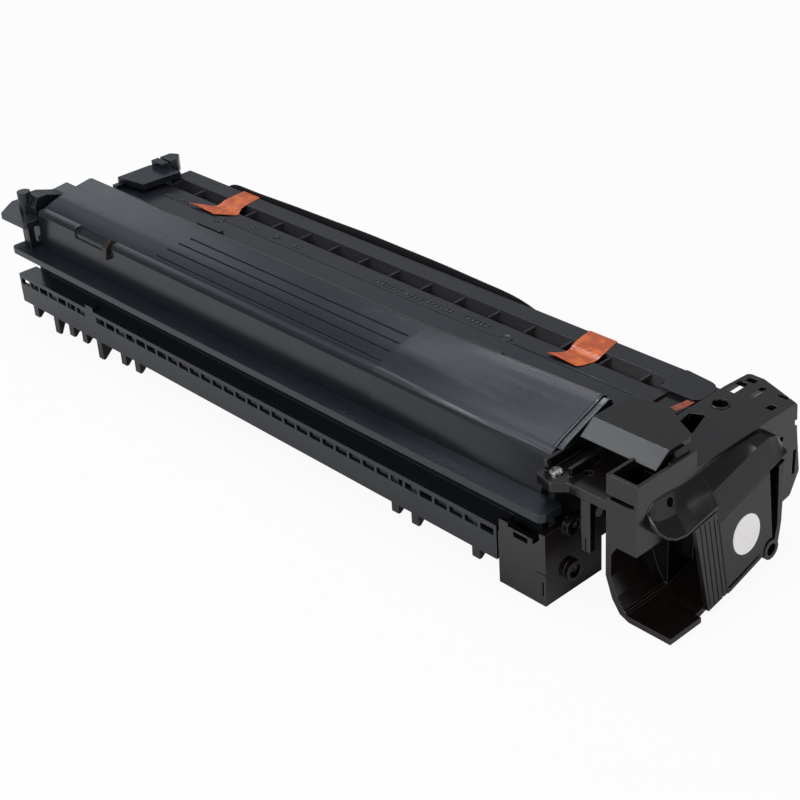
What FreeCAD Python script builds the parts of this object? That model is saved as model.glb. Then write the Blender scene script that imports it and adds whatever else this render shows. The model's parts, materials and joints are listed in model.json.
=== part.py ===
"""Drum and developer cartridge of a large colour printer, as one reusable part.

The cartridge lies along X, its handle at +X. The developer side with the
laddered rail faces -Y, the drum side faces +Y, and Z points up from the
surface on which the cartridge stands. All lengths are millimetres.
"""
import FreeCAD, Part
import math
import os
import Sketcher

V = FreeCAD.Vector

# Driving sizes: name, value, what it measures.
SIZES = [
    ("far_x", -209.1, "far end of the flange, from the middle of the cartridge"),
    ("front_y", -57.6, "front face of the rail, from the middle of the cartridge"),
    ("body_len", 387.3, "length of the flange along the developer"),
    ("cover_far_gap", 13.3, "flange end to the end of the cover, far end"),
    ("cover_near_gap", 11.9, "flange end to the end of the cover, near end"),
    ("wall", 2.0, "wall of the mouldings"),
    ("end_wall", 2.5, "end walls of the mouldings"),
    ("slack", 0.3, "room between pieces that only lie beside each other"),
    ("seat", 0.1, "room between pieces that seat on each other"),
    ("run_fit", 0.06, "radial room between a shaft and its bearing"),
    ("flange_proud", 2.5, "flange beyond the face of the rail"),
    ("flange_top", 45.0, "top of the flange"),
    ("flange_thick", 3.5, "thickness of the flange"),
    ("rail_top", 27.2, "top of the rail"),
    ("rail_depth", 10.5, "rail face to the wall of the trough"),
    ("rail_far_over", 2.0, "rail beyond the flange, far end"),
    ("rail_near_gap", 27.5, "flange end to the end of the rail, near end"),
    ("skirt_low", 10.5, "lower edge of the rail's face, and the trough's floor"),
    ("window_pitch", 9.0, "pitch of the windows in the rail"),
    ("window_len", 7.6, "length of a window"),
    ("window_high", 3.3, "height of a window"),
    ("window_low", 21.6, "lower edge of the windows"),
    ("windows_far", 7, "windows beyond the plain block"),
    ("fin_thick", 4.4, "thickness of a fin under the rail"),
    ("fin_tip", 4.3, "height of the small fins' tips"),
    ("fin_reach", 8.0, "reach of a small fin under the trough"),
    ("big_fin_reach", 13.0, "reach of the large foot under the trough"),
    ("deck_y", 72.5, "rail face to the back of the developer's deck"),
    ("cover_front_y", 8.4, "rail face to the foot of the cover"),
    ("cover_wall", 2.0, "wall of the cover"),
    ("ridge_top", 72.8, "height of the cover's ridge"),
    ("ledge_z", 60.0, "height of the ledge behind the ridge"),
    ("groove_pitch", 5.9, "pitch of the grooves in the cover"),
    ("groove_wide", 0.9, "width of a groove"),
    ("groove_deep", 0.6, "depth of a groove"),
    ("drum_y", 85.5, "rail face to the axis of the drum"),
    ("drum_z", 27.0, "height of the axis of the drum"),
    ("drum_r", 15.0, "radius of the drum"),
    ("drum_tube_wall", 1.0, "wall of the drum's tube"),
    ("drum_gap", 11.0, "end of the cover to the end of the drum's tube"),
    ("drum_shaft_r", 4.0, "radius of the drum's shaft"),
    ("shaft_reach", 10.0, "how far the drum's shaft goes past its gear"),
    ("drive_pin_r", 3.0, "radius of the shaft's driven end"),
    ("drive_pin_len", 6.5, "length of the shaft's driven end"),
    ("gear_module", 1.0, "module of the gears"),
    ("gear_wide", 5.0, "width of the gears"),
    ("drum_teeth", 32, "teeth on the drum gear"),
    ("sleeve_teeth", 15, "teeth on the sleeve gear"),
    ("rear_teeth", 27, "teeth on the rear screw gear"),
    ("front_teeth", 12, "teeth on the front screw gear"),
    ("waste_teeth", 12, "teeth on the waste screw gear"),
    ("sleeve_dir", 190.0, "direction from the drum's axis to the sleeve's"),
    ("rear_dir", 182.5, "direction from the sleeve's axis to the rear screw's"),
    ("front_dir", 186.0, "direction from the rear screw's axis to the front one's"),
    ("waste_dir", 67.5, "direction from the drum's axis to the waste screw's"),
    ("backlash", 0.22, "room between meshed teeth"),
    ("sleeve_r", 8.0, "radius of the developer sleeve"),
    ("sleeve_wall", 0.8, "wall of the developer sleeve"),
    ("sleeve_gap", 20.0, "end of the cover to the end of the developer sleeve"),
    ("magnet_r", 6.6, "radius of the magnet inside the sleeve"),
    ("screw_r", 6.8, "radius of the mixing screws"),
    ("screw_core_r", 2.6, "radius of a mixing screw's core"),
    ("screw_pitch", 24.0, "pitch of the mixing screws"),
    ("screw_gap", 8.5, "end wall to the end of a mixing screw's flight"),
    ("screw_steps", 10, "flats in one turn of a screw's flight"),
    ("screw_blade", 1.2, "thickness of a screw's flight"),
    ("shaft_r", 2.5, "radius of the small shafts"),
    ("waste_screw_r", 4.6, "radius of the waste screw"),
    ("charge_r", 6.0, "radius of the charge roller"),
    ("charge_core_r", 3.0, "radius of the charge roller's steel core"),
    ("charge_gap", 11.0, "end of the drum's tube to the end of the charge roller's rubber"),
    ("holder_gap", 2.2, "end of the charge roller's rubber to its holder"),
    ("charge_dir", 99.5, "direction from the drum's axis to the charge roller's"),
    ("plate_thick", 3.5, "thickness of the bearing plates"),
    ("trough_y", 83.6, "rail face to the edge of the trough"),
    ("plate_y", 88.8, "rail face to the edge of the back plate"),
    ("back_y", 103.0, "rail face to the back edge"),
    ("back_z", 61.0, "height of the back plate"),
    ("gusset_pitch", 22.25, "pitch of the gussets in the trough"),
    ("gusset_thick", 1.6, "thickness of a gusset"),
    ("gusset_near", 12.4, "end of the cleaner to the first gusset"),
    ("cleaner_far_gap", 24.6, "flange end to the end of the cleaner, far end"),
    ("cap_x", 37.3, "flange end to the face of the near end cap"),
    ("cap_back_x", 7.3, "flange end to the inner edge of the cap's top"),
    ("cap_top", 61.0, "height of the near end cap"),
    ("cap_low", 15.0, "lowest edge of the near end cap"),
    ("cap_wall", 2.5, "wall of the near end cap"),
    ("cap_right_y", 111.0, "rail face to the right side of the cap"),
    ("cap_left_y", 45.0, "rail face to the left side of the cap's low part"),
    ("inlet_y", 10.0, "rail face to the face of the inlet box"),
    ("inlet_x", 22.1, "flange end to the inlet box"),
    ("inlet_top", 68.8, "top of the inlet box"),
    ("inlet_low", 37.2, "underside of the inlet box"),
    ("hood_x", 50.0, "flange end to the lip of the handle's hood"),
    ("handle_x", 51.0, "flange end to the face of the handle"),
    ("handle_y", 14.4, "rail face to the open side of the handle"),
    ("handle_left_x", 18.2, "flange end to the outside of the handle's wall"),
    ("handle_wall", 2.6, "wall of the handle"),
    ("bracket_top", 56.3, "top of the near top bracket"),
    ("bracket_thick", 4.2, "thickness of the near top bracket"),
    ("lower_len", 26.4, "length of the near lower bracket"),
    ("lower_top", 25.4, "top of the near lower bracket"),
    ("lower_peak", 34.4, "peak of the near lower bracket"),
    ("lower_depth", 34.0, "depth of the near lower bracket"),
    ("sheet_thick", 0.6, "thickness of the protective sheet"),
    ("sheet_r", 19.0, "radius of the protective sheet round the drum"),
    ("tape_thick", 0.25, "thickness of the tapes"),
    ("tape_wide", 17.0, "width of the tapes"),
    ("tape_far_in", 80.0, "middle of the far tape, from the flange's far end"),
    ("tape_mid_in", 59.3, "middle of the middle tape, from the flange's near end"),
    ("label_r", 8.6, "radius of the round label"),
    ("label_thick", 0.3, "thickness of the round label"),
]


class Size:
    """A length that carries its number and the expression that gives it."""

    def __init__(self, number, text=None):
        self.number = float(number)
        self.text = text if text is not None else repr(float(number))

    def __float__(self):
        return self.number

    def joined(self, sign, number, other, swap=False):
        first, second = (other, self) if swap else (self, other)
        return Size(number, "(%s %s %s)" % (first.text, sign, second.text))

    def __add__(self, other):
        other = as_size(other)
        return self.joined("+", self.number + other.number, other)

    def __radd__(self, other):
        return as_size(other) + self

    def __sub__(self, other):
        other = as_size(other)
        return self.joined("-", self.number - other.number, other)

    def __rsub__(self, other):
        return as_size(other) - self

    def __mul__(self, other):
        other = as_size(other)
        return self.joined("*", self.number * other.number, other)

    def __rmul__(self, other):
        return as_size(other) * self

    def __truediv__(self, other):
        other = as_size(other)
        return self.joined("/", self.number / other.number, other)

    def __neg__(self):
        return as_size(0) - self


def as_size(value):
    return value if isinstance(value, Size) else Size(value)


def whole(value):
    """The whole number in a size."""
    return Size(math.floor(value.number), "floor(%s)" % value.text)


class Sizes:
    """The driving sizes, each as an attribute."""


document = FreeCAD.newDocument("drum_cartridge")
sheet = document.addObject("Spreadsheet::Sheet", "Sizes")
s = Sizes()
for row, (alias, value, meaning) in enumerate(SIZES, start=1):
    sheet.set("A%d" % row, alias)
    sheet.set("B%d" % row, repr(value))
    sheet.set("C%d" % row, meaning)
    sheet.setAlias("B%d" % row, alias)
    setattr(s, alias, Size(value, "Sizes." + alias))
document.recompute()

parts = []

# Places that follow from the sizes.
near_x = s.far_x + s.body_len
cover_far = s.far_x + s.cover_far_gap
cover_near = near_x - s.cover_near_gap
cleaner_far = s.far_x + s.cleaner_far_gap
cleaner_near = cover_near
far_plate_x = cover_far - s.seat - s.plate_thick
near_plate_x = cover_near + s.seat
gear_x = far_plate_x - 1.0 - s.gear_wide
fy = s.front_y


def y(distance):
    """A place across the cartridge, from the face of the rail."""
    return fy + distance


def polar(centre, radius, degrees):
    """The point at a radius and a direction from a centre, as sizes."""
    angle = as_size(degrees)
    across = Size(math.cos(math.radians(angle.number)), "cos(%s * 1deg)" % angle.text)
    up = Size(math.sin(math.radians(angle.number)), "sin(%s * 1deg)" % angle.text)
    return (centre[0] + radius * across, centre[1] + radius * up)


# Axes of everything that turns, as (across, up).
drum_axis = (y(s.drum_y), s.drum_z)
half_module = s.gear_module / 2
sleeve_axis = polar(drum_axis, half_module * (s.drum_teeth + s.sleeve_teeth), s.sleeve_dir)
rear_axis = polar(sleeve_axis, half_module * (s.sleeve_teeth + s.rear_teeth), s.rear_dir)
front_axis = polar(rear_axis, half_module * (s.rear_teeth + s.front_teeth), s.front_dir)
waste_axis = polar(drum_axis, half_module * (s.drum_teeth + s.waste_teeth), s.waste_dir)
charge_axis = polar(drum_axis, s.drum_r + s.charge_r + s.slack, s.charge_dir)


def new_body(label):
    """Start a body whose label is its node's name."""
    body = document.addObject("PartDesign::Body", label)
    body.Label = label
    parts.append(body)
    return body


def origin_plane(body, role):
    for feature in body.Origin.OriginFeatures:
        if feature.Role == role:
            return feature
    raise ValueError(role)


def add_line(sketch, start, end):
    return sketch.addGeometry(Part.LineSegment(V(*start, 0), V(*end, 0)), False)


def fix_point(sketch, geometry, end, place):
    """Tie one end of a line, or a centre, to its place in the sketch."""
    for kind, value in (("DistanceX", place[0]), ("DistanceY", place[1])):
        index = sketch.addConstraint(
            Sketcher.Constraint(kind, -1, 1, geometry, end, value.number))
        if "Sizes" in value.text:
            sketch.setExpression("Constraints[%d]" % index, value.text)


def corner_arc(before, corner, after, radius):
    """Tangent points of the arc that rounds a corner, the arc, and its first end."""
    back = V(*[b.number - c.number for b, c in zip(before, corner)], 0).normalize()
    onward = V(*[a.number - c.number for a, c in zip(after, corner)], 0).normalize()
    half = back.getAngle(onward) / 2
    here = V(corner[0].number, corner[1].number, 0)
    reach = radius / math.tan(half)
    centre = here + (back + onward).normalize() * (radius / math.sin(half))
    enter, leave = here + back * reach, here + onward * reach
    angles = [math.atan2(p.y - centre.y, p.x - centre.x) for p in (enter, leave)]
    sweep = (angles[1] - angles[0]) % (2 * math.pi)
    first = 1
    if sweep > math.pi:
        first = 2
        angles.reverse()
        sweep = 2 * math.pi - sweep
    arc = Part.ArcOfCircle(Part.Circle(centre, V(0, 0, 1), radius),
                           angles[0], angles[0] + sweep)
    return enter, leave, arc, first


def draw_outline(sketch, points):
    """Draw a closed outline. A point is (x, y), or (x, y, radius) to round it."""
    places = [(as_size(p[0]), as_size(p[1])) for p in points]
    radii = [as_size(p[2]) if len(p) > 2 else None for p in points]
    count = len(points)
    arcs = {}
    for i in range(count):
        if radii[i] is not None:
            arcs[i] = corner_arc(places[i - 1], places[i], places[(i + 1) % count],
                                 radii[i].number)
    lines = []
    for i in range(count):
        j = (i + 1) % count
        start = arcs[i][1] if i in arcs else V(places[i][0].number, places[i][1].number, 0)
        end = arcs[j][0] if j in arcs else V(places[j][0].number, places[j][1].number, 0)
        lines.append(sketch.addGeometry(Part.LineSegment(start, end), False))
    for i in range(count):
        before, after = lines[i - 1], lines[i]
        if i not in arcs:
            sketch.addConstraint(Sketcher.Constraint("Coincident", before, 2, after, 1))
            fix_point(sketch, after, 1, places[i])
            continue
        arc = sketch.addGeometry(arcs[i][2], False)
        first = arcs[i][3]
        sketch.addConstraint(Sketcher.Constraint("Tangent", before, 2, arc, first))
        sketch.addConstraint(Sketcher.Constraint("Tangent", after, 1, arc, 3 - first))
        index = sketch.addConstraint(
            Sketcher.Constraint("Radius", arc, radii[i].number))
        if "Sizes" in radii[i].text:
            sketch.setExpression("Constraints[%d]" % index, radii[i].text)
        corner = sketch.addGeometry(
            Part.Point(V(places[i][0].number, places[i][1].number, 0)), True)
        fix_point(sketch, corner, 1, places[i])
        sketch.addConstraint(Sketcher.Constraint("PointOnObject", corner, 1, before))
        sketch.addConstraint(Sketcher.Constraint("PointOnObject", corner, 1, after))


def draw_circle(sketch, centre, radius):
    centre = (as_size(centre[0]), as_size(centre[1]))
    radius = as_size(radius)
    circle = sketch.addGeometry(
        Part.Circle(V(centre[0].number, centre[1].number, 0), V(0, 0, 1), radius.number),
        False)
    index = sketch.addConstraint(Sketcher.Constraint("Radius", circle, radius.number))
    if "Sizes" in radius.text:
        sketch.setExpression("Constraints[%d]" % index, radius.text)
    fix_point(sketch, circle, 3, centre)


ROLES = {"X": "YZ_Plane", "Y": "XZ_Plane", "Z": "XY_Plane"}


def new_sketch(body, along, place, outlines=(), circles=()):
    """A sketch square to one axis, at a place along it."""
    place = as_size(place)
    sketch = body.newObject("Sketcher::SketchObject", "Sketch")
    sketch.AttachmentSupport = [(origin_plane(body, ROLES[along]), "")]
    sketch.MapMode = "FlatFace"
    offset = -place if along == "Y" else place
    sketch.AttachmentOffset = FreeCAD.Placement(V(0, 0, offset.number), FreeCAD.Rotation())
    if "Sizes" in offset.text:
        sketch.setExpression("AttachmentOffset.Base.z", offset.text)
    for points in outlines:
        draw_outline(sketch, points)
    for centre, radius in circles:
        draw_circle(sketch, centre, radius)
    return sketch


def extrude(body, kind, along, start, end, outlines=(), circles=()):
    """Add or cut a prism between two places along an axis."""
    start, end = as_size(start), as_size(end)
    sketch = new_sketch(body, along, start, outlines, circles)
    feature = body.newObject(kind, kind.split("::")[1])
    feature.Profile = sketch
    feature.setExpression("Length", (end - start).text)
    feature.Reversed = (along == "Y") == (kind == "PartDesign::Pad")
    return feature


def pad(body, along, start, end, outlines=(), circles=()):
    return extrude(body, "PartDesign::Pad", along, start, end, outlines, circles)


def pocket(body, along, start, end, outlines=(), circles=()):
    return extrude(body, "PartDesign::Pocket", along, start, end, outlines, circles)


def box(low_a, high_a, low_b, high_b):
    """A rectangular outline."""
    return [(low_a, low_b), (high_a, low_b), (high_a, high_b), (low_a, high_b)]


def repeat(body, feature, pitch, count):
    """Repeat a feature along -X at a pitch."""
    pattern = body.newObject("PartDesign::LinearPattern", "Pattern")
    pattern.Originals = [feature]
    pattern.Direction = (origin_plane(body, "X_Axis"), [""])
    pattern.Reversed = True
    pattern.Occurrences = int(count.number)
    pattern.setExpression("Occurrences", count.text)
    pattern.setExpression("Length", (pitch * (count - 1)).text)
    body.Tip = pattern
    return pattern


def shaped(label, shape):
    """A piece whose solid is worked out from the sizes."""
    piece = document.addObject("Part::Feature", label)
    piece.Label = label
    piece.Shape = shape
    parts.append(piece)
    return piece


def rod(start, end, axis, radius):
    """A cylinder along X between two places."""
    start, end = as_size(start), as_size(end)
    base = V(start.number, axis[0].number, axis[1].number)
    return Part.makeCylinder(float(radius), end.number - start.number, base, V(1, 0, 0))


def tube(start, end, axis, outer, inner):
    return rod(start, end, axis, outer).cut(rod(start, end, axis, inner))


# The developer: trough, rail and flange in one moulding

rail_end = near_x - s.rail_near_gap
rail_start = s.far_x - s.rail_far_over
flange_low = s.flange_top - s.flange_thick
trough_floor = s.skirt_low + s.wall
rail_wall = y(s.rail_depth)
rail_room = rail_end - rail_start - 1.5 + s.window_pitch - s.window_len
windows_near = whole(rail_room / s.window_pitch) - s.windows_far - 1


def make_developer_housing():
    body = new_body("developer_housing")
    deck = y(s.deck_y)
    lip = y(s.deck_y - 5.5)
    outline = [
        (y(-s.flange_proud), flange_low), (rail_wall, flange_low),
        (rail_wall, s.skirt_low + 1), (rail_wall + 1, s.skirt_low),
        (lip, s.skirt_low), (lip + 1.8, s.skirt_low + 1.5),
        (lip + 1.8, flange_low - 4.5), (deck, flange_low + 1), (deck, s.flange_top),
        (y(-s.flange_proud), s.flange_top)]
    pad(body, "X", cover_far, cover_near, [outline])
    opening = y(s.rail_depth + 39)
    blade_y = sleeve_axis[0] - 1.9
    cavity = [
        (rail_wall + s.wall, s.flange_top), (opening, s.flange_top), (opening, flange_low),
        (blade_y - 2, flange_low), (blade_y - 2, sleeve_axis[1] + s.sleeve_r + 3),
        (blade_y, sleeve_axis[1] + s.sleeve_r + 3), (blade_y, flange_low + 0.5),
        (deck + 1, flange_low + 0.5), (deck + 1, trough_floor),
        (rail_wall + s.wall + 1, trough_floor), (rail_wall + s.wall, trough_floor + 1)]
    pocket(body, "X", cover_far + s.end_wall, cover_near - s.end_wall, [cavity])
    middle = (rear_axis[0] + front_axis[0]) / 2
    pad(body, "X", cover_far + 30, cover_near - 30,
        [box(middle - 0.7, middle + 0.7, trough_floor - 0.5, trough_floor + 10)])
    holes = [(axis, s.shaft_r + s.run_fit) for axis in (rear_axis, front_axis, sleeve_axis)]
    pocket(body, "X", cover_far - 1, cover_far + s.end_wall + 1, [], holes)
    pocket(body, "X", cover_near - s.end_wall - 1, cover_near + 1, [], holes)
    flange = [
        (s.far_x, y(-s.flange_proud), 3), (near_x, y(-s.flange_proud), 3),
        (near_x, rail_wall, 2), (s.far_x, rail_wall, 2)]
    pad(body, "Z", flange_low, s.flange_top, [flange])
    skirt = [
        (y(0), s.skirt_low), (y(s.wall), s.skirt_low), (y(s.wall), s.rail_top - s.wall),
        (rail_wall + 0.5, s.rail_top - s.wall), (rail_wall + 0.5, s.rail_top),
        (y(0), s.rail_top)]
    pad(body, "X", rail_start, rail_end, [skirt])
    first = rail_end - 1.5
    high = s.window_low + s.window_high
    window = [box(first - s.window_len, first, s.window_low, high)]
    cut = pocket(body, "Y", y(-1), y(s.wall + 1), window)
    repeat(body, cut, s.window_pitch, windows_near)
    first = first - s.window_pitch * (windows_near + 1)
    window = [box(first - s.window_len, first, s.window_low, high)]
    cut = pocket(body, "Y", y(-1), y(s.wall + 1), window)
    repeat(body, cut, s.window_pitch, s.windows_far)
    pad(body, "Z", s.rail_top - 0.2, s.rail_top + 2.2,
        [box(first + 1.6, first + s.window_pitch - 0.8, y(0), y(3))])
    for start, tip, reach in FINS:
        outline = [
            (y(0), s.skirt_low + 1.5), (y(0), tip), (y(1.4), tip), (y(reach), s.skirt_low),
            (rail_wall + 0.2, s.skirt_low + 6.5), (rail_wall + 0.2, s.rail_top - s.wall + 0.2),
            (y(s.wall / 2), s.rail_top - s.wall + 0.2), (y(s.wall / 2), s.skirt_low + 1.5)]
        pad(body, "X", start, start + s.fin_thick, [outline])


# Fins under the rail: far side of the fin, height of the tip, reach.
FINS = [
    (s.far_x + 7.2, s.fin_tip, s.fin_reach),
    (s.far_x + 27.4, s.fin_tip - 3.3, s.fin_reach - 2),
    (s.far_x + 42.1, s.fin_tip, s.fin_reach),
    (s.far_x + 54.6, s.fin_tip + 0.3, s.fin_reach),
    (s.far_x + 68.6, as_size(0), s.big_fin_reach),
    (s.far_x + 90.5, s.fin_tip, s.fin_reach),
    (s.far_x + 102.9, s.fin_tip, s.fin_reach),
    (near_x - 91.2, s.fin_tip + 1.6, s.fin_reach),
    (near_x - 78.7, s.fin_tip + 0.8, s.fin_reach - 1),
    (near_x - 42.0, s.fin_tip + 1.3, s.fin_reach),
]


# Spans of the cover's section that are rounded, and the flats in each.
ROUNDED_SPANS = (1, 2, 3, 4)
SHOULDER_STEPS = 4

# Section of the cover, from its foot at the rail over the ridge to the deck:
# place behind the rail and height at the far end, the same at the near end,
# and how far inside each point the inner face lies, in walls.
COVER_SECTION = [
    (0.0, 0.1, 1.6, 0.1, 1.0, -0.1),
    (1.2, 17.8, 6.9, 13.0, 1.0, -0.6),
    (5.9, 20.1, 9.3, 15.6, 0.5, -1.0),
    (12.8, 22.5, 13.4, 17.9, 0.4, -1.0),
    (19.5, 24.3, 18.2, 19.9, 0.3, -1.0),
    (36.0, 27.2, 39.8, 27.6, -0.2, -1.0),
    (37.6, 26.6, 41.6, 26.8, -0.6, -1.0),
    (45.6, 15.0, 46.2, 15.0, -0.8, -1.0),
    (64.1, 15.0, 64.1, 15.0, -1.0, -1.0),
    (64.1, 0.1, 64.1, 0.1, -1.0, -0.1),
]


def cover_section(near, rounded=True):
    """Points of one end's section, with the shoulder rounded in small steps."""
    points = [(row[2:4] if near else row[:2]) + row[4:] for row in COVER_SECTION]
    if not rounded:
        return points
    smooth = [points[0]]
    for index in range(len(points) - 1):
        before, start, end, after = (points[max(0, min(len(points) - 1, index + step))]
                                     for step in (-1, 0, 1, 2))
        if index not in ROUNDED_SPANS:
            smooth.append(end)
            continue
        for step in range(1, SHOULDER_STEPS + 1):
            t = step / SHOULDER_STEPS
            smooth.append(tuple(
                ((2 * b) + (c - a) * t + (2 * a - 5 * b + 4 * c - d) * t ** 2
                 + (3 * b - a - 3 * c + d) * t ** 3) / 2
                for a, b, c, d in zip(before, start, end, after)))
    return smooth


def cover_outline(walls, near):
    """Section of the cover, outside or some walls in. The near end leans back more."""
    rise = (s.ridge_top - s.flange_top) / 27.6
    outline = []
    for across, up, inward, down in cover_section(near, walls == 0):
        outline.append((y(s.cover_front_y + across + s.cover_wall * (walls * inward)),
                        s.flange_top + rise * up + s.cover_wall * (walls * down)))
    return outline


def cover_height(across):
    """Height of the cover's outside at a distance behind its front edge."""
    section = cover_section(False)
    for (y0, z0, *_), (y1, z1, *_) in zip(section, section[1:]):
        if y0 <= across.number <= y1:
            rise = (s.ridge_top - s.flange_top) / 27.6
            return s.flange_top + rise * (z0 + (across - y0) * ((z1 - z0) / (y1 - y0)))
    raise ValueError(across.number)


def loft(body, kind, sections, along="X"):
    """Add or cut a loft through sketches along an axis."""
    sketches = [new_sketch(body, along, place, [outline]) for place, outline in sections]
    feature = body.newObject(kind, kind.split("::")[1])
    feature.Profile = sketches[0]
    feature.Sections = sketches[1:]
    feature.Ruled = True
    return feature


def make_developer_cover():
    body = new_body("developer_cover")
    bend = cover_near - 98
    loft(body, "PartDesign::AdditiveLoft", [
        (cover_far, cover_outline(0, False)), (bend, cover_outline(0, False)),
        (cover_near, cover_outline(0, True))])
    loft(body, "PartDesign::SubtractiveLoft", [
        (cover_far + s.end_wall, cover_outline(1, False)),
        (bend, cover_outline(1, False)),
        (cover_near - s.end_wall, cover_outline(1, True))])
    for line in range(4):
        across = 26.1 - s.groove_pitch * line
        low = cover_height(across) - s.groove_deep
        half = s.groove_wide / 2
        groove = box(y(s.cover_front_y + across - half), y(s.cover_front_y + across + half),
                     low, low + 3)
        pocket(body, "X", cover_far + 103.5 - 2 * line, bend - 2 + 0.5 * line, [groove])
    shoulder = s.flange_top + 17.8
    foot = y(s.cover_front_y)
    recess = [
        (foot - 1, shoulder - 3), (foot + 1.8, shoulder - 3), (foot + 2, shoulder - 0.6),
        (foot + 5.9, shoulder + 1.4), (foot + 5.4, shoulder + 4), (foot - 1, shoulder + 4)]
    pocket(body, "X", cover_far + 35, cover_far + 68, [recess])


def make_gear(label, teeth, axis, phase, start, wide, bore):
    """A spur gear with involute flanks, as a solid along X."""
    count = int(teeth.number)
    module = s.gear_module.number
    pitch_r = module * count / 2
    base_r = pitch_r * math.cos(math.radians(20))
    tip_r = pitch_r + 0.8 * module
    root_r = pitch_r - 1.2 * module
    involute = math.tan(math.radians(20)) - math.radians(20)
    half = math.pi / (2 * count) - s.backlash.number / (4 * pitch_r)
    low_r = max(base_r, root_r)
    flank = [low_r + (tip_r - low_r) * step / 2 for step in range(3)]
    points = []
    for tooth in range(count):
        middle = math.radians(phase) + 2 * math.pi * tooth / count
        side = []
        for radius in flank:
            pressure = math.acos(min(1.0, base_r / radius))
            spread = half + involute - (math.tan(pressure) - pressure)
            side.append((radius, spread))
        rising = [(root_r, side[0][1] * 1.1)] + side
        points += [(r, middle - a) for r, a in rising]
        points += [(r, middle + a) for r, a in reversed(rising)]
    base = V(as_size(start).number, axis[0].number, axis[1].number)
    ring = [base + V(0, r * math.cos(a), r * math.sin(a)) for r, a in points]
    face = Part.Face(Part.makePolygon(ring + [ring[0]]))
    solid = face.extrude(V(float(wide), 0, 0))
    hole = Part.makeCylinder(float(bore), float(wide), base, V(1, 0, 0))
    return solid.cut(hole)


def mesh_phase(axis_one, teeth_one, phase_one, axis_two, teeth_two):
    """Phase of a gear that meshes with another, in degrees."""
    line = math.atan2(axis_two[1].number - axis_one[1].number,
                      axis_two[0].number - axis_one[0].number)
    ratio = teeth_one.number / teeth_two.number
    offset = (math.radians(phase_one) - line) * ratio
    return math.degrees(line + math.pi - offset - math.pi / teeth_two.number)


drum_phase = 0.0
sleeve_phase = mesh_phase(drum_axis, s.drum_teeth, drum_phase, sleeve_axis, s.sleeve_teeth)
rear_phase = mesh_phase(sleeve_axis, s.sleeve_teeth, sleeve_phase, rear_axis, s.rear_teeth)
front_phase = mesh_phase(rear_axis, s.rear_teeth, rear_phase, front_axis, s.front_teeth)
waste_phase = mesh_phase(drum_axis, s.drum_teeth, drum_phase, waste_axis, s.waste_teeth)


def flat_face(*corners):
    return Part.Face(Part.makePolygon(list(corners) + [corners[0]]))


def make_flight(base, length, inner, outer, hand):
    """A helical blade along X, in flats."""
    thick = s.screw_blade.number
    turn = 2 * math.pi / s.screw_steps.number
    count = int(length / s.screw_pitch.number * s.screw_steps.number)
    rings = []
    for step in range(count + 1):
        across, up = math.cos(hand * turn * step), math.sin(hand * turn * step)
        place = thick + (length - 2 * thick) * step / count
        rings.append([base + V(place + side * thick / 2, radius * across, radius * up)
                      for side, radius in ((-1, inner), (-1, outer), (1, outer), (1, inner))])
    faces = [flat_face(*rings[0]), flat_face(*rings[-1])]
    for a, b in zip(rings, rings[1:]):
        faces += [flat_face(a[0], a[1], b[1]), flat_face(a[0], b[1], b[0])]
        faces += [flat_face(a[2], a[3], b[3]), flat_face(a[2], b[3], b[2])]
        faces += [flat_face(a[1], a[2], b[2], b[1]), flat_face(a[3], a[0], b[0], b[3])]
    return Part.makeSolid(Part.makeShell(faces))


def make_screw(label, axis, radius, core, start, end, hand):
    """A conveying screw: a core with one helical blade, between two shaft ends."""
    length = end.number - start.number
    base = V(start.number, axis[0].number, axis[1].number)
    flight = make_flight(base, length, core.number - 0.6, radius.number, hand)
    turn = 2 * math.pi / s.screw_steps.number
    ring = [base + V(0, core.number * math.cos(turn * step), core.number * math.sin(turn * step))
            for step in range(int(s.screw_steps.number))]
    return flight.fuse(flat_face(*ring).extrude(V(length, 0, 0)))


def make_screws():
    low = cover_far + s.end_wall + s.screw_gap
    high = cover_near - s.end_wall - s.screw_gap
    shaft_start = gear_x
    shaft_end = near_plate_x + s.plate_thick
    for label, axis, radius, hand in (
            ("rear_mixing_screw", rear_axis, s.screw_r, 1),
            ("front_mixing_screw", front_axis, s.screw_r, -1),
            ("waste_screw", waste_axis, s.waste_screw_r, 1)):
        core = s.screw_core_r if radius is s.screw_r else s.screw_core_r - 0.6
        if label == "waste_screw":
            low, high = cleaner_far + s.end_wall + 1, cleaner_near - s.end_wall - 1
        solid = make_screw(label, axis, radius, core, low, high, hand)
        journal = s.shaft_r if radius is s.screw_r else s.shaft_r - 0.5
        solid = solid.fuse(rod(shaft_start, low, axis, journal))
        solid = solid.fuse(rod(high, shaft_end, axis, journal))
        shaped(label, solid)


def make_gears():
    far_end = gear_x
    for label, teeth, axis, phase, journal in (
            ("sleeve_gear", s.sleeve_teeth, sleeve_axis, sleeve_phase, s.shaft_r),
            ("rear_screw_gear", s.rear_teeth, rear_axis, rear_phase, s.shaft_r),
            ("front_screw_gear", s.front_teeth, front_axis, front_phase, s.shaft_r),
            ("waste_screw_gear", s.waste_teeth, waste_axis, waste_phase, s.shaft_r - 0.5)):
        shaped(label, make_gear(label, teeth, axis, phase, far_end, s.gear_wide, journal))


drum_start = cover_far + s.drum_gap
drum_end = cover_near - s.drum_gap
sleeve_start = cover_far + s.sleeve_gap
sleeve_end = cover_near - s.sleeve_gap


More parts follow.
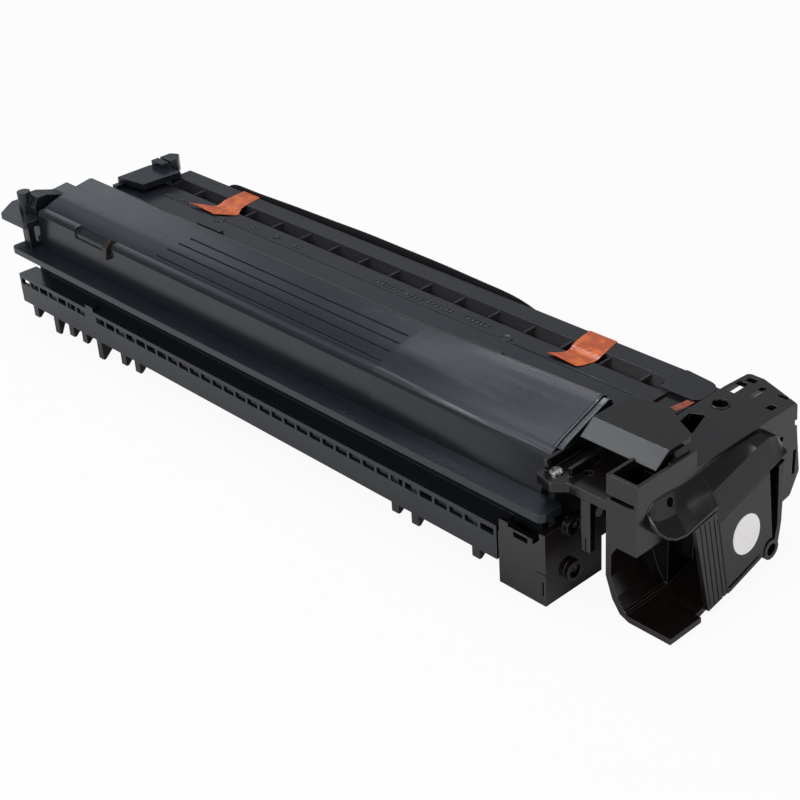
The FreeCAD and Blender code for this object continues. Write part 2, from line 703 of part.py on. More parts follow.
def make_drum():
    shaped("drum_tube", tube(drum_start, drum_end, drum_axis, s.drum_r,
                             s.drum_r - s.drum_tube_wall))
    inner = s.drum_r - s.drum_tube_wall
    shaft_r = s.drum_shaft_r
    drive = rod(drum_start, drum_start + 8, drum_axis, inner)
    drive = drive.fuse(rod(far_plate_x + s.plate_thick + 1, drum_start, drum_axis, s.drum_r - 1.5))
    drive = drive.cut(rod(far_plate_x, drum_start + 9, drum_axis, shaft_r))
    shaped("drum_far_flange", drive)
    near = rod(drum_end - 8, drum_end, drum_axis, inner)
    near = near.fuse(rod(drum_end, near_plate_x - 1, drum_axis, s.drum_r - 3))
    near = near.cut(rod(drum_end - 9, near_plate_x, drum_axis, shaft_r))
    shaped("drum_near_flange", near)
    tip = gear_x - s.shaft_reach
    step = tip + s.drive_pin_len
    shaft = rod(step, near_plate_x + s.plate_thick + 3, drum_axis, shaft_r)
    shaft = shaft.fuse(rod(tip, step + 1, drum_axis, s.drive_pin_r))
    shaped("drum_shaft", shaft)
    shaped("drum_gear", make_gear("drum_gear", s.drum_teeth, drum_axis, drum_phase,
                                  gear_x, s.gear_wide, s.drum_shaft_r))


def make_sleeve():
    start, end = sleeve_start, sleeve_end
    inner = s.sleeve_r - s.sleeve_wall
    solid = tube(start, end, sleeve_axis, s.sleeve_r, inner)
    stub = rod(gear_x, start + 3, sleeve_axis, s.shaft_r)
    stub = stub.cut(rod(start, start + 4, sleeve_axis, s.shaft_r - 1 + s.run_fit))
    solid = solid.fuse(rod(start, start + 3, sleeve_axis, inner)).fuse(stub)
    solid = solid.cut(rod(start + 1, start + 4, sleeve_axis, s.shaft_r - 1))
    near_ring = tube(end - 3, end, sleeve_axis, inner, s.shaft_r + s.run_fit)
    solid = solid.fuse(near_ring)
    shaped("developer_sleeve", solid)
    core = rod(start + 4, end - 4, sleeve_axis, s.magnet_r)
    core = core.fuse(rod(end - 4, near_plate_x + s.plate_thick, sleeve_axis, s.shaft_r))
    core = core.fuse(rod(start + 1 + s.slack, start + 4, sleeve_axis,
                         s.shaft_r - 1 - s.run_fit))
    shaped("magnet_core", core)


def make_charge_roller():
    start = drum_start + s.charge_gap
    end = drum_end - s.charge_gap
    shaped("charge_roller_rubber", tube(start, end, charge_axis, s.charge_r, s.charge_core_r))
    core_start = cleaner_far + s.end_wall + 1
    core_end = cleaner_near - s.end_wall - 1
    shaped("charge_roller_core", rod(core_start, core_end, charge_axis, s.charge_core_r))
    holders = None
    for low, high in ((cleaner_far + s.end_wall + s.seat, start - s.holder_gap),
                      (end + s.holder_gap, cleaner_near - s.end_wall - s.seat)):
        base = V(as_size(low).number, charge_axis[0].number - 5, charge_axis[1].number - 4.5)
        block = Part.makeBox(high.number - low.number, 10, 10.5, base)
        block = block.cut(rod(core_start - 0.3, core_end + 0.3, charge_axis,
                              s.charge_core_r + s.run_fit))
        holders = block if holders is None else holders.fuse(block)
    shaped("charge_roller_holders", holders)


# The cleaner: the ledge, the trough with its gussets and the back plate

def make_cleaner_housing():
    body = new_body("cleaner_housing")
    front = y(s.deck_y + 0.5)
    back = y(s.back_y)
    low = s.flange_top - 0.5
    blade_low = s.drum_z + 7
    trough_low = s.ledge_z - 4
    outline = [
        (front, low), (front, s.ledge_z), (y(s.trough_y), s.ledge_z),
        (y(s.plate_y) - 0.4, trough_low), (y(s.plate_y), s.back_z), (back, s.back_z, 1.0),
        (back, blade_low), (back - s.wall, blade_low), (back - s.wall, low)]
    pad(body, "X", cleaner_far, cleaner_near, [outline])
    inner = [
        (front + 1.2, low - 1), (front + 1.2, s.ledge_z - s.wall),
        (y(s.trough_y) - 0.8, s.ledge_z - s.wall), (y(s.plate_y) - 0.8, trough_low - s.wall),
        (back - s.wall, trough_low - s.wall), (back - s.wall, low - 1)]
    pocket(body, "X", cleaner_far + s.end_wall, cleaner_near - s.end_wall, [inner])
    waste_hole = [(waste_axis, s.shaft_r - 0.5 + s.run_fit)]
    pocket(body, "X", cleaner_far - 1, cleaner_far + s.end_wall + 1, [], waste_hole)
    pocket(body, "X", cleaner_near - s.end_wall - 1, cleaner_near + 1, [], waste_hole)
    plate = [
        (cleaner_near - 1, y(s.plate_y - 4), 0.5), (near_x + s.cap_back_x - s.slack, y(s.plate_y - 4), 4),
        (near_x + s.cap_back_x - s.slack, back - 2, 7), (cleaner_near - 1, back, 0.5)]
    pad(body, "Z", s.back_z - s.wall, s.back_z, [plate])
    pad(body, "Z", s.back_z - 2.8, s.ledge_z, [box(
        cleaner_near - 1, near_plate_x + s.plate_thick, front, y(s.trough_y) + 1.5)])
    first = cleaner_near - s.gusset_near
    room = first - cleaner_far - s.end_wall - s.gusset_thick
    gusset = [
        (y(s.trough_y) - 0.5, s.ledge_z), (y(s.plate_y) + 0.2, s.ledge_z + 0.3),
        (y(s.plate_y) + 0.2, trough_low - 0.5), (y(s.plate_y) - 0.8, trough_low - 0.5),
        (y(s.trough_y) - 0.5, s.ledge_z - 0.7)]
    rib = pad(body, "X", first, first + s.gusset_thick, [gusset])
    repeat(body, rib, s.gusset_pitch, whole(room / s.gusset_pitch) + 1)


def make_blades():
    back = y(s.back_y) - s.wall - s.seat
    start, end = sleeve_start, sleeve_end
    body = new_body("cleaning_blade_bracket")
    pad(body, "X", start, end, [[
        (back - 1.2, s.drum_z + 12), (back, s.drum_z + 12), (back, s.drum_z + 24),
        (back - 1.2, s.drum_z + 24)]])
    body = new_body("cleaning_blade_lip")
    tip = polar(drum_axis, s.drum_r + s.slack, 35)
    pad(body, "X", start, end, [[
        (tip[0], tip[1] - 0.2), (tip[0] + 1.7, tip[1] - 0.9), (back - 1.3, s.drum_z + 14.5),
        (back - 2.9, s.drum_z + 14.5)]])
    body = new_body("doctor_blade")
    blade_y = sleeve_axis[0] - 1.9 + s.seat
    low = sleeve_axis[1] + s.sleeve_r + 0.4
    pad(body, "X", start, end, [box(blade_y, blade_y + 1.5, low, low + 9)])


def make_bearing_plates():
    top = s.back_z - 3
    for label, start, left_top, foot in (
            ("far_bearing_plate", far_plate_x, s.back_z - 4.6, s.skirt_low - 1.5),
            ("near_bearing_plate", near_plate_x, s.bracket_top - s.bracket_thick - s.seat, 0)):
        body = new_body(label)
        left = y(s.rail_depth + 3.5)
        step = y(s.cap_left_y)
        low = s.skirt_low - 1.5
        outline = [
            (left, low, 3), (y(62), low), (y(70), foot), (y(s.back_y - 8), foot),
            (y(s.back_y - 3), low + 2, 4), (y(s.back_y - 1), top, 3), (step + 1, top),
            (step, left_top), (left, left_top, 2)]
        end = start + s.plate_thick
        pad(body, "X", start, end, [outline])
        fit = s.run_fit
        pocket(body, "X", start - 1, end + 1, [], [
            (drum_axis, s.drum_shaft_r + fit), (rear_axis, s.shaft_r + fit),
            (front_axis, s.shaft_r + fit), (sleeve_axis, s.shaft_r + fit),
            (waste_axis, s.shaft_r - 0.5 + fit)])


def make_gear_cover():
    body = new_body("gear_cover")
    start = gear_x - 1 - s.wall
    end = far_plate_x - s.seat
    top = s.back_z - 4.6
    left, right = y(s.rail_depth + 1.4), y(s.back_y + 2.4)
    thin = s.wall - 0.4
    pad(body, "X", start, end, [[(left, 0, 8), (right, 0, 14), (right, top, 5), (left, top, 4)]])
    pocket(body, "X", start + s.wall, end + 1, [[
        (left + thin, thin, 7), (right - thin, thin, 12), (right - thin, top - thin, 4),
        (left + thin, top - thin, 3)]])
    pocket(body, "X", start - 1, start + s.wall + 1, [], [(drum_axis, s.drum_shaft_r + 1)])


def make_near_end_cap():
    body = new_body("near_end_cap")
    face = near_x + s.cap_x
    inner_edge = near_x + s.cap_back_x
    left, right = y(s.cap_left_y), y(s.cap_right_y)
    plate_end = near_plate_x + s.plate_thick + s.seat
    body_right = y(s.back_y - 1)
    shell = box(left, body_right, s.cap_low + 3, s.cap_top - s.wall)
    pad(body, "X", plate_end, face - s.cap_wall, [shell])
    front = [
        (left, s.cap_low + 3), (right - 7, s.cap_low), (right - 1, s.cap_low + 1, 2),
        (right + 4.5, s.cap_low + 11, 3), (right + 1, s.cap_low + 32), (right, s.cap_top, 2),
        (left, s.cap_top)]
    pad(body, "X", face - s.cap_wall, face, [front])
    notches = [
        box(right - 0.8, right + 1.4, s.cap_low + 11, s.cap_low + 23),
        [(right - 0.9, s.cap_top - 11), (right + 5, s.cap_top - 13), (right + 5, s.cap_top - 9),
         (right - 0.9, s.cap_top - 8.4)]]
    pocket(body, "X", face - s.cap_wall - 1, face + 1, notches,
           [((right - 10.1, s.cap_top - 13.5), 1.5)])
    top = [
        (inner_edge, left), (face, left), (face, right - 1), (face - 21, right + 6.5, 4),
        (inner_edge + 1, right + 6.5, 2), (inner_edge, right - 8)]
    pad(body, "Z", s.cap_top - s.cap_wall, s.cap_top, [top])
    side = box(face - 12, face - 1, right - 3.6, right - 1.3)
    pad(body, "Z", s.cap_low + 4, s.cap_top - 1, [side])
    wall = s.cap_wall
    hollow = box(left + wall, body_right - wall, s.cap_low + 3 + wall, s.cap_top - s.wall - 1)
    pocket(body, "X", plate_end - 1, face - s.cap_wall, [hollow])
    inlet_start = near_x + s.inlet_x
    inlet_front = y(s.inlet_y)
    inlet = box(inlet_front, left + 0.5, s.inlet_low, s.inlet_top)
    pad(body, "X", inlet_start, face, [inlet])
    thin = wall - 1
    pocket(body, "Z", s.inlet_low + wall, s.inlet_top + 1, [box(
        inlet_start + thin, face - thin, inlet_front + thin, left - 14)])
    pocket(body, "X", inlet_start - 1, face - wall, [[
        (y(25.4), s.inlet_top - 4), (left - 14, s.inlet_top - 4), (left - 14, s.inlet_top - 8),
        (left + 1, s.inlet_top - 8), (left + 1, s.inlet_top + 1), (y(25.4), s.inlet_top + 1)]])
    pocket(body, "X", inlet_start - 1, face - thin, [box(
        inlet_front - 1, inlet_front + thin + 1, s.inlet_top - 11, s.inlet_top - 8.8)])
    slots = [
        box(inner_edge + 2, inner_edge + 6.5, right - 11, right - 1),
        box(inner_edge + 3.5, inner_edge + 8, right + 0.5, right + 4),
        box(inner_edge + 12, inner_edge + 14.5, right - 8.5, right + 1),
        box(inner_edge + 23, inner_edge + 26.5, right - 12.5, right - 8.5),
        box(inner_edge + 21, inner_edge + 26, right - 1.4, right + 0.6),
        [(inner_edge + 3.6, y(68.2)), (inner_edge + 2.5, y(75.5)), (inner_edge + 8.6, y(78.7)),
         (inner_edge + 13.4, y(63.5))]]
    pocket(body, "Z", s.cap_top - s.cap_wall - 1, s.cap_top + 1, slots,
           [((inner_edge + 7.5, y(89.5)), 3.4)])


def make_inlet_block_cover():
    body = new_body("inlet_block_cover")
    start = near_x - 4.8
    end = near_x + 33
    top = s.ridge_top - 0.2
    skirt = s.cap_top + s.seat
    outline = [
        (y(25.8), top - 5.6), (y(33.6), top), (y(57.8), top), (y(57.8), skirt),
        (y(55.4), skirt), (y(55.4), top - 2.4), (y(34.6), top - 2.4), (y(27.6), top - 7.4)]
    pad(body, "X", start, end, [outline])
    corner = [(start - 1, y(54.8)), (start + 11, y(58.4)), (start - 1, y(58.4))]
    pocket(body, "Z", skirt - 1, top + 1, [corner])
    corner = [(end + 1, y(46)), (end - 19, y(58.4)), (end + 1, y(58.4))]
    pocket(body, "Z", skirt - 1, top + 1, [corner])
    pad(body, "X", start, start + 2.2, [[
        (y(27.6), top - 7.2), (y(34.2), top - 2.6), (y(54), top - 2.6), (y(54), top - 8),
        (y(30), top - 8)]])


def make_near_top_bracket():
    body = new_body("near_top_bracket")
    low, top = s.bracket_top - s.bracket_thick, s.bracket_top
    start = cover_near + s.slack
    end = near_x + s.inlet_x - s.seat
    plate = [
        (start, y(7.2), 1.5), (start + 9.6, y(5.2), 2), (start + 14.4, y(9.8), 3),
        (end, y(s.inlet_y)), (end, y(31)), (start, y(31))]
    pad(body, "Z", low, top, [plate])
    pad(body, "Z", top - 0.2, top + 5, [box(start + 1, start + 2.6, y(11), y(30.5))])
    pad(body, "Z", top - 0.2, top + 4, [box(start + 11.5, start + 13, y(13.8), y(30.5))])
    pocket(body, "Z", low - 1, top + 1, [], [((start + 15.8, y(20.4)), 1.9)])
    post = box(near_x + 9.3, near_x + 14, y(s.inlet_y), y(s.inlet_y + 3))
    pad(body, "Z", 28, low + 0.2, [post])
    pad(body, "Z", low - 8, low + 0.2, [box(start + 4, start + 7, y(26), y(30))])


def make_bracket_screw():
    start = cover_near + s.slack + 5.9
    base = V(start.number, y(12.7).number, s.bracket_top.number)
    head = Part.makeCylinder(2.9, 0.8, base)
    head = head.fuse(Part.makeCone(2.9, 2.2, 0.6, base + V(0, 0, 0.8)))
    slot = Part.makeBox(6, 0.8, 0.7, base + V(-3, -0.4, 0.8))
    cross = Part.makeBox(0.8, 6, 0.7, base + V(-0.4, -3, 0.8))
    shaped("bracket_screw", head.cut(slot).cut(cross))


def make_near_lower_bracket():
    body = new_body("near_lower_bracket")
    start = near_x - 0.7 - s.lower_len + 0.7
    end = near_x - 0.7
    peak = [
        (start, 0), (end, 0), (end, s.lower_peak), (end - 7.5, s.lower_top + 1),
        (start + 0.5, s.lower_top)]
    pad(body, "Y", y(0), y(2.5), [peak])
    pad(body, "Z", 0, 2.5, [box(start, end, y(0), y(s.lower_depth))])
    near_wall = [
        (y(0), 0), (y(s.lower_depth), 0), (y(s.lower_depth), s.lower_top - 8),
        (y(s.lower_depth - 10), s.lower_peak), (y(0), s.lower_peak)]
    pad(body, "X", end - 3, end, [near_wall])
    pad(body, "X", start, start + 2.5, [box(y(0), y(9.5), 0, s.lower_top)])
    pad(body, "Z", 0, s.skirt_low - s.seat, [box(start + 4, start + 6.5, y(2), y(s.lower_depth))])
    bosses = [((y(15), as_size(11)), 4.6), ((y(15), as_size(33)), 4.6)]
    pad(body, "X", end - 0.5, end + 2.5, [], bosses)
    pocket(body, "X", end + 0.5, end + 3, [], [(centre, 3.2) for centre, _ in bosses])


def panel_x(height):
    """Face of the handle's sloping front panel at a height."""
    return near_x + s.handle_x - 0.1 * (as_size(height) - 2)


panel_thick = 2.6
handle_join = y(82.5)
strip_y = 47.3
hood_low = s.inlet_low + 1.3


def hood_edge(distance):
    """Height of the hood's lower edge over the panel, at a distance from the rail's face."""
    return hood_low + (distance - strip_y) * 0.236


def make_handle_frame():
    body = new_body("handle_frame")
    face = near_x + s.handle_x
    left = near_x + s.handle_left_x
    wall = s.handle_wall
    front = y(s.handle_y)
    top = s.inlet_low - s.seat
    cap_face = near_x + s.cap_x + s.seat
    side = [
        (front, 0), (y(34), 0), (y(72), 8.7), (y(84), 10.5, 2), (y(87), 20), (y(91), top + 9.5),
        (y(50), top - 1.6), (y(46), top), (front, top)]
    pad(body, "X", left, face, [side])
    pocket(body, "Y", front - 1, y(95), [[
        (left - 1, -1), (left + 12, -1), (left + 12, 0), (left + 7.5, 1.8), (left + 3.4, 7.5),
        (left, 17.5), (left - 1, 17.5)]])
    pocket(body, "Y", front - 1, y(95), [[
        (face + 2, -1), (face + 2, 60), (panel_x(60), 60), (panel_x(-1), -1)]])
    join = [
        (face + 2, -1), (face + 2, 60), (panel_x(60) - panel_thick, 60),
        (panel_x(-1) - panel_thick, -1)]
    pocket(body, "Y", y(33.5), handle_join, [join])
    behind = box(y(s.cap_left_y) - s.slack, y(95), s.cap_low - s.slack, 60)
    pocket(body, "X", left - 1, cap_face, [behind])
    scoop = [
        (front - 1, wall), (y(34.5), wall), (y(72), 8.7 + wall), (y(82), 10.4 + wall),
        (y(84.5), 20), (y(88.5), 60), (front - 1, 60)]
    pocket(body, "X", left + wall + 8, face + 2, [scoop])
    inner = [
        (left + wall + 9, 60), (left + wall + 9, wall + 1.5), (left + wall + 6.5, wall + 2),
        (left + wall + 3.2, 9.5), (left + wall, 18), (left + wall, top - 9),
        (left + 7.5, top - 0.6), (left + 7.5, 60)]
    pocket(body, "Y", front - 1, y(40), [inner])
    lug = [((y(79.6), 10.4), 4.6)]
    pad(body, "X", cap_face + 6, face - 0.6, [], lug)
    pocket(body, "X", face - 4, face, [], [((y(79.6), 10.4), 2.8)])


def make_handle_front_panel():
    body = new_body("handle_front_panel")
    low_x, high_x = near_x + s.handle_x - 9, near_x + s.handle_x + 1
    edge = 80.6
    lobe = hood_low + 3.6
    outline = [
        (y(33.8), lobe), (y(38.9), 2.2), (y(52.7), 4.6), (y(72.2), 9.3), (y(edge), 12.6),
        (y(edge), hood_edge(edge) - s.slack), (y(strip_y + s.slack), hood_low - s.slack),
        (y(strip_y - 0.4), lobe + 1.6)]
    pad(body, "X", low_x, high_x, [outline])
    span = (y(20), y(95))
    pocket(body, "Y", span[0], span[1], [[
        (high_x + 1, -1), (high_x + 1, 60), (panel_x(60), 60), (panel_x(-1), -1)]])
    back = panel_thick - s.seat
    pocket(body, "Y", span[0], span[1], [[
        (low_x - 1, -1), (panel_x(-1) - back, -1), (panel_x(60) - back, 60), (low_x - 1, 60)]])
    cut_panel(body, 2, 46, (30, 51.2), (30, strip_y), 0.45)
    for place in (36.2, 39.0, 41.8, 44.6):
        cut_panel(body, 3.6, 42, (place + 3.4, place + 4.1), (place, place + 0.7), 1.1)
    gutter = [
        (y(51.4), 6.0), (y(71.8), 10.9), (y(71.8), 12.2), (y(51.2), 7.4)]
    pocket(body, "X", panel_x(8) - 0.9, high_x + 1, [gutter])
    pocket(body, "X", low_x - 1, high_x + 1, [], [((y(79.6), 10.4), 5.2)])


def cut_panel(body, low, high, low_span, high_span, deep):
    """Cut a strip in the sloping panel, from one height to another."""
    sections = []
    for height, (start, end) in ((low, low_span), (high, high_span)):
        face = panel_x(height)
        sections.append((as_size(height), box(face - deep, face + 1, y(start), y(end))))
    loft(body, "PartDesign::SubtractiveLoft", sections, "Z")


# Sections of the hood's rounded lobe: distance from the rail's face, underside,
# reach from the end cap, lip, reach and height of the hollow's bend, top.
LOBE = [
    (15.6, 49.2, 2.0, 50.6, 1.2, 52.6, 54.8),
    (16.8, 46.4, 4.6, 47.8, 2.0, 51.6, 57.0),
    (19.4, 43.6, 6.8, 45.0, 2.6, 50.4, 58.3),
    (23.5, 41.6, 8.2, 43.0, 3.0, 49.6, 58.7),
    (29.0, 41.2, 8.9, 42.6, 3.4, 49.4, 58.4),
    (35.0, 42.6, 9.1, 44.0, 3.8, 50.4, 57.6),
    (41.0, 43.6, 9.2, 45.2, 4.6, 51.4, 57.2),
    (47.3, 44.8, 9.3, 46.6, 5.6, 52.2, 57.6),
]

# Sections of the hood's visor: distance, rise of its edge over the panel, reach, top edge.
VISOR = [
    (47.3, 51.0, 6.2, 57.6),
    (62.0, 54.6, 6.0, 58.4),
    (76.0, 57.8, 5.8, 59.2),
    (84.0, 58.9, 5.6, 59.4),
    (89.5, 57.2, 5.4, 57.6),
    (92.8, 53.0, 5.2, 53.4),
]


def make_handle_hood():
    body = new_body("handle_hood")
    start = near_x + s.cap_x + s.seat
    lift = s.inlet_low - 37.2
    sections = []
    for distance, low, reach, lip, bend, waist, top in LOBE:
        sections.append((y(distance), [
            (start, lift + low), (start + reach, lift + low + 0.4), (start + reach, lift + lip),
            (start + bend, lift + waist), (start, lift + top)]))
    loft(body, "PartDesign::AdditiveLoft", sections, "Y")
    sections = []
    for distance, ridge, reach, top in VISOR:
        edge = hood_edge(distance)
        sections.append((y(distance), [
            (start, edge), (panel_x(edge), edge), (start + reach, lift + ridge),
            (start, lift + top)]))
    loft(body, "PartDesign::AdditiveLoft", sections, "Y")
    pocket(body, "X", start - 1, start + 12, [], [((y(27.6), lift + 54.6), 1.9)])


def make_label_disc():
    tilt = math.degrees(math.atan(0.1))
    height = 25.5
    face = panel_x(height)
    base = V(face.number, y(64).number, height)
    disc = Part.makeCylinder(float(s.label_r), float(s.label_thick), V(0, 0, 0), V(1, 0, 0))
    disc.rotate(V(0, 0, 0), V(0, 1, 0), -tilt)
    disc.translate(base)
    shaped("label_disc", disc)


def make_far_guide_lug():
    body = new_body("far_guide_lug")
    low, top = s.cap_top - 4.5, s.cap_top - 1
    plan = [
        (s.far_x - 11.2, y(1)), (s.far_x - 17.7, y(9.4), 2), (s.far_x - 20.8, y(13.9), 2),
        (s.far_x - 20.6, y(17.5), 2), (s.far_x - 14.9, y(20.4), 3), (s.far_x - 1.7, y(17.2), 2),
        (s.far_x + 12, y(14)), (s.far_x + 12, y(1.3), 2)]
    pad(body, "Z", low, top, [plan])
    pad(body, "Z", s.flange_top + s.seat, low + 0.5,
        [box(s.far_x + 8, s.far_x + 12, y(2.8), y(6.5))])
    pad(body, "Z", s.flange_top + s.seat, low + 0.5,
        [box(s.far_x + 3, s.far_x + 5, y(4.5), y(8.5))])


def make_far_hook_arm():
    body = new_body("far_hook_arm")
    low = s.back_z - 4.6 + s.seat
    rest = s.cap_top - 1 + s.seat
    outline = [
        (y(11.5), rest), (y(11.5), rest + 4, 2), (y(14), rest + 9.6, 2), (y(20), rest + 9.4, 3),
        (y(30), rest + 6.2, 8), (y(40), rest + 7.4, 1.5), (y(43), low), (y(21), low), (y(21), rest)]
    pad(body, "X", s.far_x - 3.2, s.far_x + 7.6, [outline])
    knob = [((s.far_x - 2.2, y(11.8)), 3.6)]
    pad(body, "Z", rest, rest + 11.4, [], knob)


def make_far_top_bar():
    body = new_body("far_top_bar")
    low = s.back_z + s.seat
    start = far_plate_x
    plan = [
        (start, y(64)), (start + 20, y(67)), (start + 22, y(91)), (start + 5, y(91)),
        (start, y(86))]
    pad(body, "Z", low + 1.2, low + 4.6, [plan])
    pad(body, "Z", s.back_z - 3 + s.seat, low + 1.4, [box(start, start + 3.4, y(60), y(86))])
    block = [
        (start + 2, y(86)), (start + 12, y(86)), (start + 12, y(97), 3), (start + 7, y(102), 3),
        (start + 2, y(99), 2)]
    pad(body, "Z", low, low + 8, [block])
    pocket(body, "Z", low + 6, low + 9, [box(start + 1, start + 13, y(90.5), y(92))])


def make_clips():
    body = new_body("ridge_clips")
    low = cover_height(as_size(50)) + s.seat
    behind = y(s.cover_front_y + 47.4)
    for place in (93.1, 291.3):
        start = s.far_x + place
        pad(body, "Z", low, low + 5, [box(start, start + 19, behind, behind + 2.5)])
    body = new_body("cover_pocket_clip")
    front = y(s.cover_front_y - 1.6)
    start = s.far_x + 76.5
    pad(body, "X", start, start + 3.4, [[
        (front, s.flange_top + 12.5), (front + 2.4, s.flange_top + 12),
        (front + 2.5, s.flange_top + 17.4), (front + 6.2, s.flange_top + 20.6),
        (front + 4.6, s.flange_top + 21.8), (front + 1, s.flange_top + 18.6)]])


def make_protective_sheet():
    body = new_body("protective_sheet")
    back = y(s.back_y) + s.seat
    outer = back + s.sheet_thick
    centre = drum_axis
    start, end = drum_start + 17, drum_end - 45
    count = 9
    rim = []
    for radius in (s.sheet_r + s.sheet_thick, s.sheet_r):
        ring = [polar(centre, radius, -12 - 11 * step) for step in range(count)]
        rim.append(ring)
    outline = [(outer, s.back_z + 1), (outer, centre[1] + 5)] + rim[0]
    outline += list(reversed(rim[1])) + [(back, centre[1] + 5), (back, s.back_z + 1)]
    pad(body, "X", start, end, [outline])


def make_tapes():
    lift = s.tape_thick
    flat = s.back_z + s.seat
    for label, place in (("tape_far", s.far_x + s.tape_far_in), ("tape_mid", near_x - s.tape_mid_in)):
        body = new_body(label)
        slope = s.ledge_z + s.seat
        edge = y(s.plate_y - 0.2)
        ledge = y(s.trough_y)
        outline = [
            (y(s.back_y - 4.5), flat), (y(s.back_y - 4.5), flat + lift), (edge, flat + lift),
            (ledge, slope + lift), (y(76), slope + lift), (y(76), slope), (ledge, slope),
            (edge, flat)]
        pad(body, "X", place - s.tape_wide / 2, place + s.tape_wide / 2, [outline])
    body = new_body("tape_near")
    start = near_x + 0.7
    pad(body, "Z", flat, flat + lift, [[
        (start, y(76)), (start + 3.4, y(73)), (start + 11.6, y(75)), (start + 9, y(84))]])


make_developer_housing()
make_developer_cover()
make_cleaner_housing()
make_drum()
make_sleeve()
make_charge_roller()
make_screws()
make_gears()
make_blades()
make_bearing_plates()
make_gear_cover()
make_near_end_cap()
make_inlet_block_cover()
make_near_top_bracket()
make_bracket_screw()
make_near_lower_bracket()
make_handle_frame()
make_handle_front_panel()
make_handle_hood()
make_label_disc()
make_far_guide_lug()
make_far_hook_arm()
make_far_top_bar()
make_clips()
make_protective_sheet()
make_tapes()

document.recompute()

faults = []
for item in document.Objects:
    if "Invalid" in item.State or "Error" in item.State:
        faults.append("%s is %s" % (item.Name, item.State))
for piece in parts:
    if piece.Shape.isNull() or not piece.Shape.isValid():
        faults.append("%s has no valid shape" % piece.Label)
if faults:
    raise RuntimeError("; ".join(faults))

os.makedirs("parts", exist_ok=True)
for piece in parts:
    piece.Shape.exportStep("parts/%s.step" % piece.Label)
    bounds = piece.Shape.BoundBox
    print("%-26s %2d solid  %9.0f mm3  X %.1f %.1f  Y %.1f %.1f  Z %.1f %.1f" % (
        piece.Label, len(piece.Shape.Solids), piece.Shape.Volume, bounds.XMin, bounds.XMax,
        bounds.YMin, bounds.YMax, bounds.ZMin, bounds.ZMax))
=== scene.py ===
"""Dresses a drum and developer cartridge in its mouldings' finishes and lights it."""
import json
import logging
import math
from dataclasses import dataclass
from enum import Enum
from typing import Any, Callable, Dict, List, Sequence, Tuple, Union

import bpy
from mathutils import Matrix, Vector


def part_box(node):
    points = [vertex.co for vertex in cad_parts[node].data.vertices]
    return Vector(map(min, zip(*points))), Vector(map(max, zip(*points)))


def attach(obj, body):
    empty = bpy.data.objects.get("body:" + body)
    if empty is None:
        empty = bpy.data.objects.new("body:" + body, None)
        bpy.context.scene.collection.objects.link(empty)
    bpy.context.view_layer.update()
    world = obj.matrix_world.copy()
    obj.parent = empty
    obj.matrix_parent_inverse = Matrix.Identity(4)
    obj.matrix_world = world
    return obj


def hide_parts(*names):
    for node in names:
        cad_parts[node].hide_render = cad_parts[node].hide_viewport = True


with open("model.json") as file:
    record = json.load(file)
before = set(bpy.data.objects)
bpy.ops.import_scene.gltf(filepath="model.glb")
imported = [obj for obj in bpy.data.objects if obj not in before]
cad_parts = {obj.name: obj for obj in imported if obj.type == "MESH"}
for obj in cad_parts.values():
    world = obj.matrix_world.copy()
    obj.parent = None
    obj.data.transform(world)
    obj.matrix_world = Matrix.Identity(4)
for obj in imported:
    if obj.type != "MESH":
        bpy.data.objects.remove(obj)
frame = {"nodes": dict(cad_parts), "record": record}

LOG = logging.getLogger("cartridge")
MM = 0.001
CLEAR = 1.0  # millimetres that a cutter reaches past what it cuts
MERGE = 2e-6  # metres between points that are one
DISSOLVE = 0.5  # degrees between faces that are one
FLAT, SLIGHT, CURVED = 4.0, 25.0, 60.0  # degrees up to which edges are shaded smooth
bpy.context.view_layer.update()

Colour = Tuple[float, float, float]
Value = Union[float, "Wire"]
Piece = bpy.types.Object
Spot = Tuple[float, float]
Place = Tuple[float, float, float]
FaceTest = Callable[[Vector, Vector], bool]
Surface = Callable[[float, float], Vector]
COOL: Colour = (0.88, 0.94, 1.00)
WARM: Colour = (1.00, 0.94, 0.91)


class Wire:
    """A shader socket that takes part in Python expressions."""

    def __init__(self, paint: "Paint", socket: bpy.types.NodeSocket) -> None:
        """Keep the material being built and the output that carries the value."""
        self.paint = paint
        self.socket = socket

    def _maths(self, operation: str, first: Value, second: Value) -> "Wire":
        """Return the result of a Math node with two inputs."""
        return self.paint.add("ShaderNodeMath", {"operation": operation}, {0: first, 1: second})

    def __add__(self, other: Value) -> "Wire":
        """Return the sum."""
        return self._maths("ADD", self, other)

    __radd__ = __add__

    def __sub__(self, other: Value) -> "Wire":
        """Return the difference."""
        return self._maths("SUBTRACT", self, other)

    def __rsub__(self, other: Value) -> "Wire":
        """Return the difference, taken the other way."""
        return self._maths("SUBTRACT", other, self)

    def __mul__(self, other: Value) -> "Wire":
        """Return the product."""
        return self._maths("MULTIPLY", self, other)

    __rmul__ = __mul__


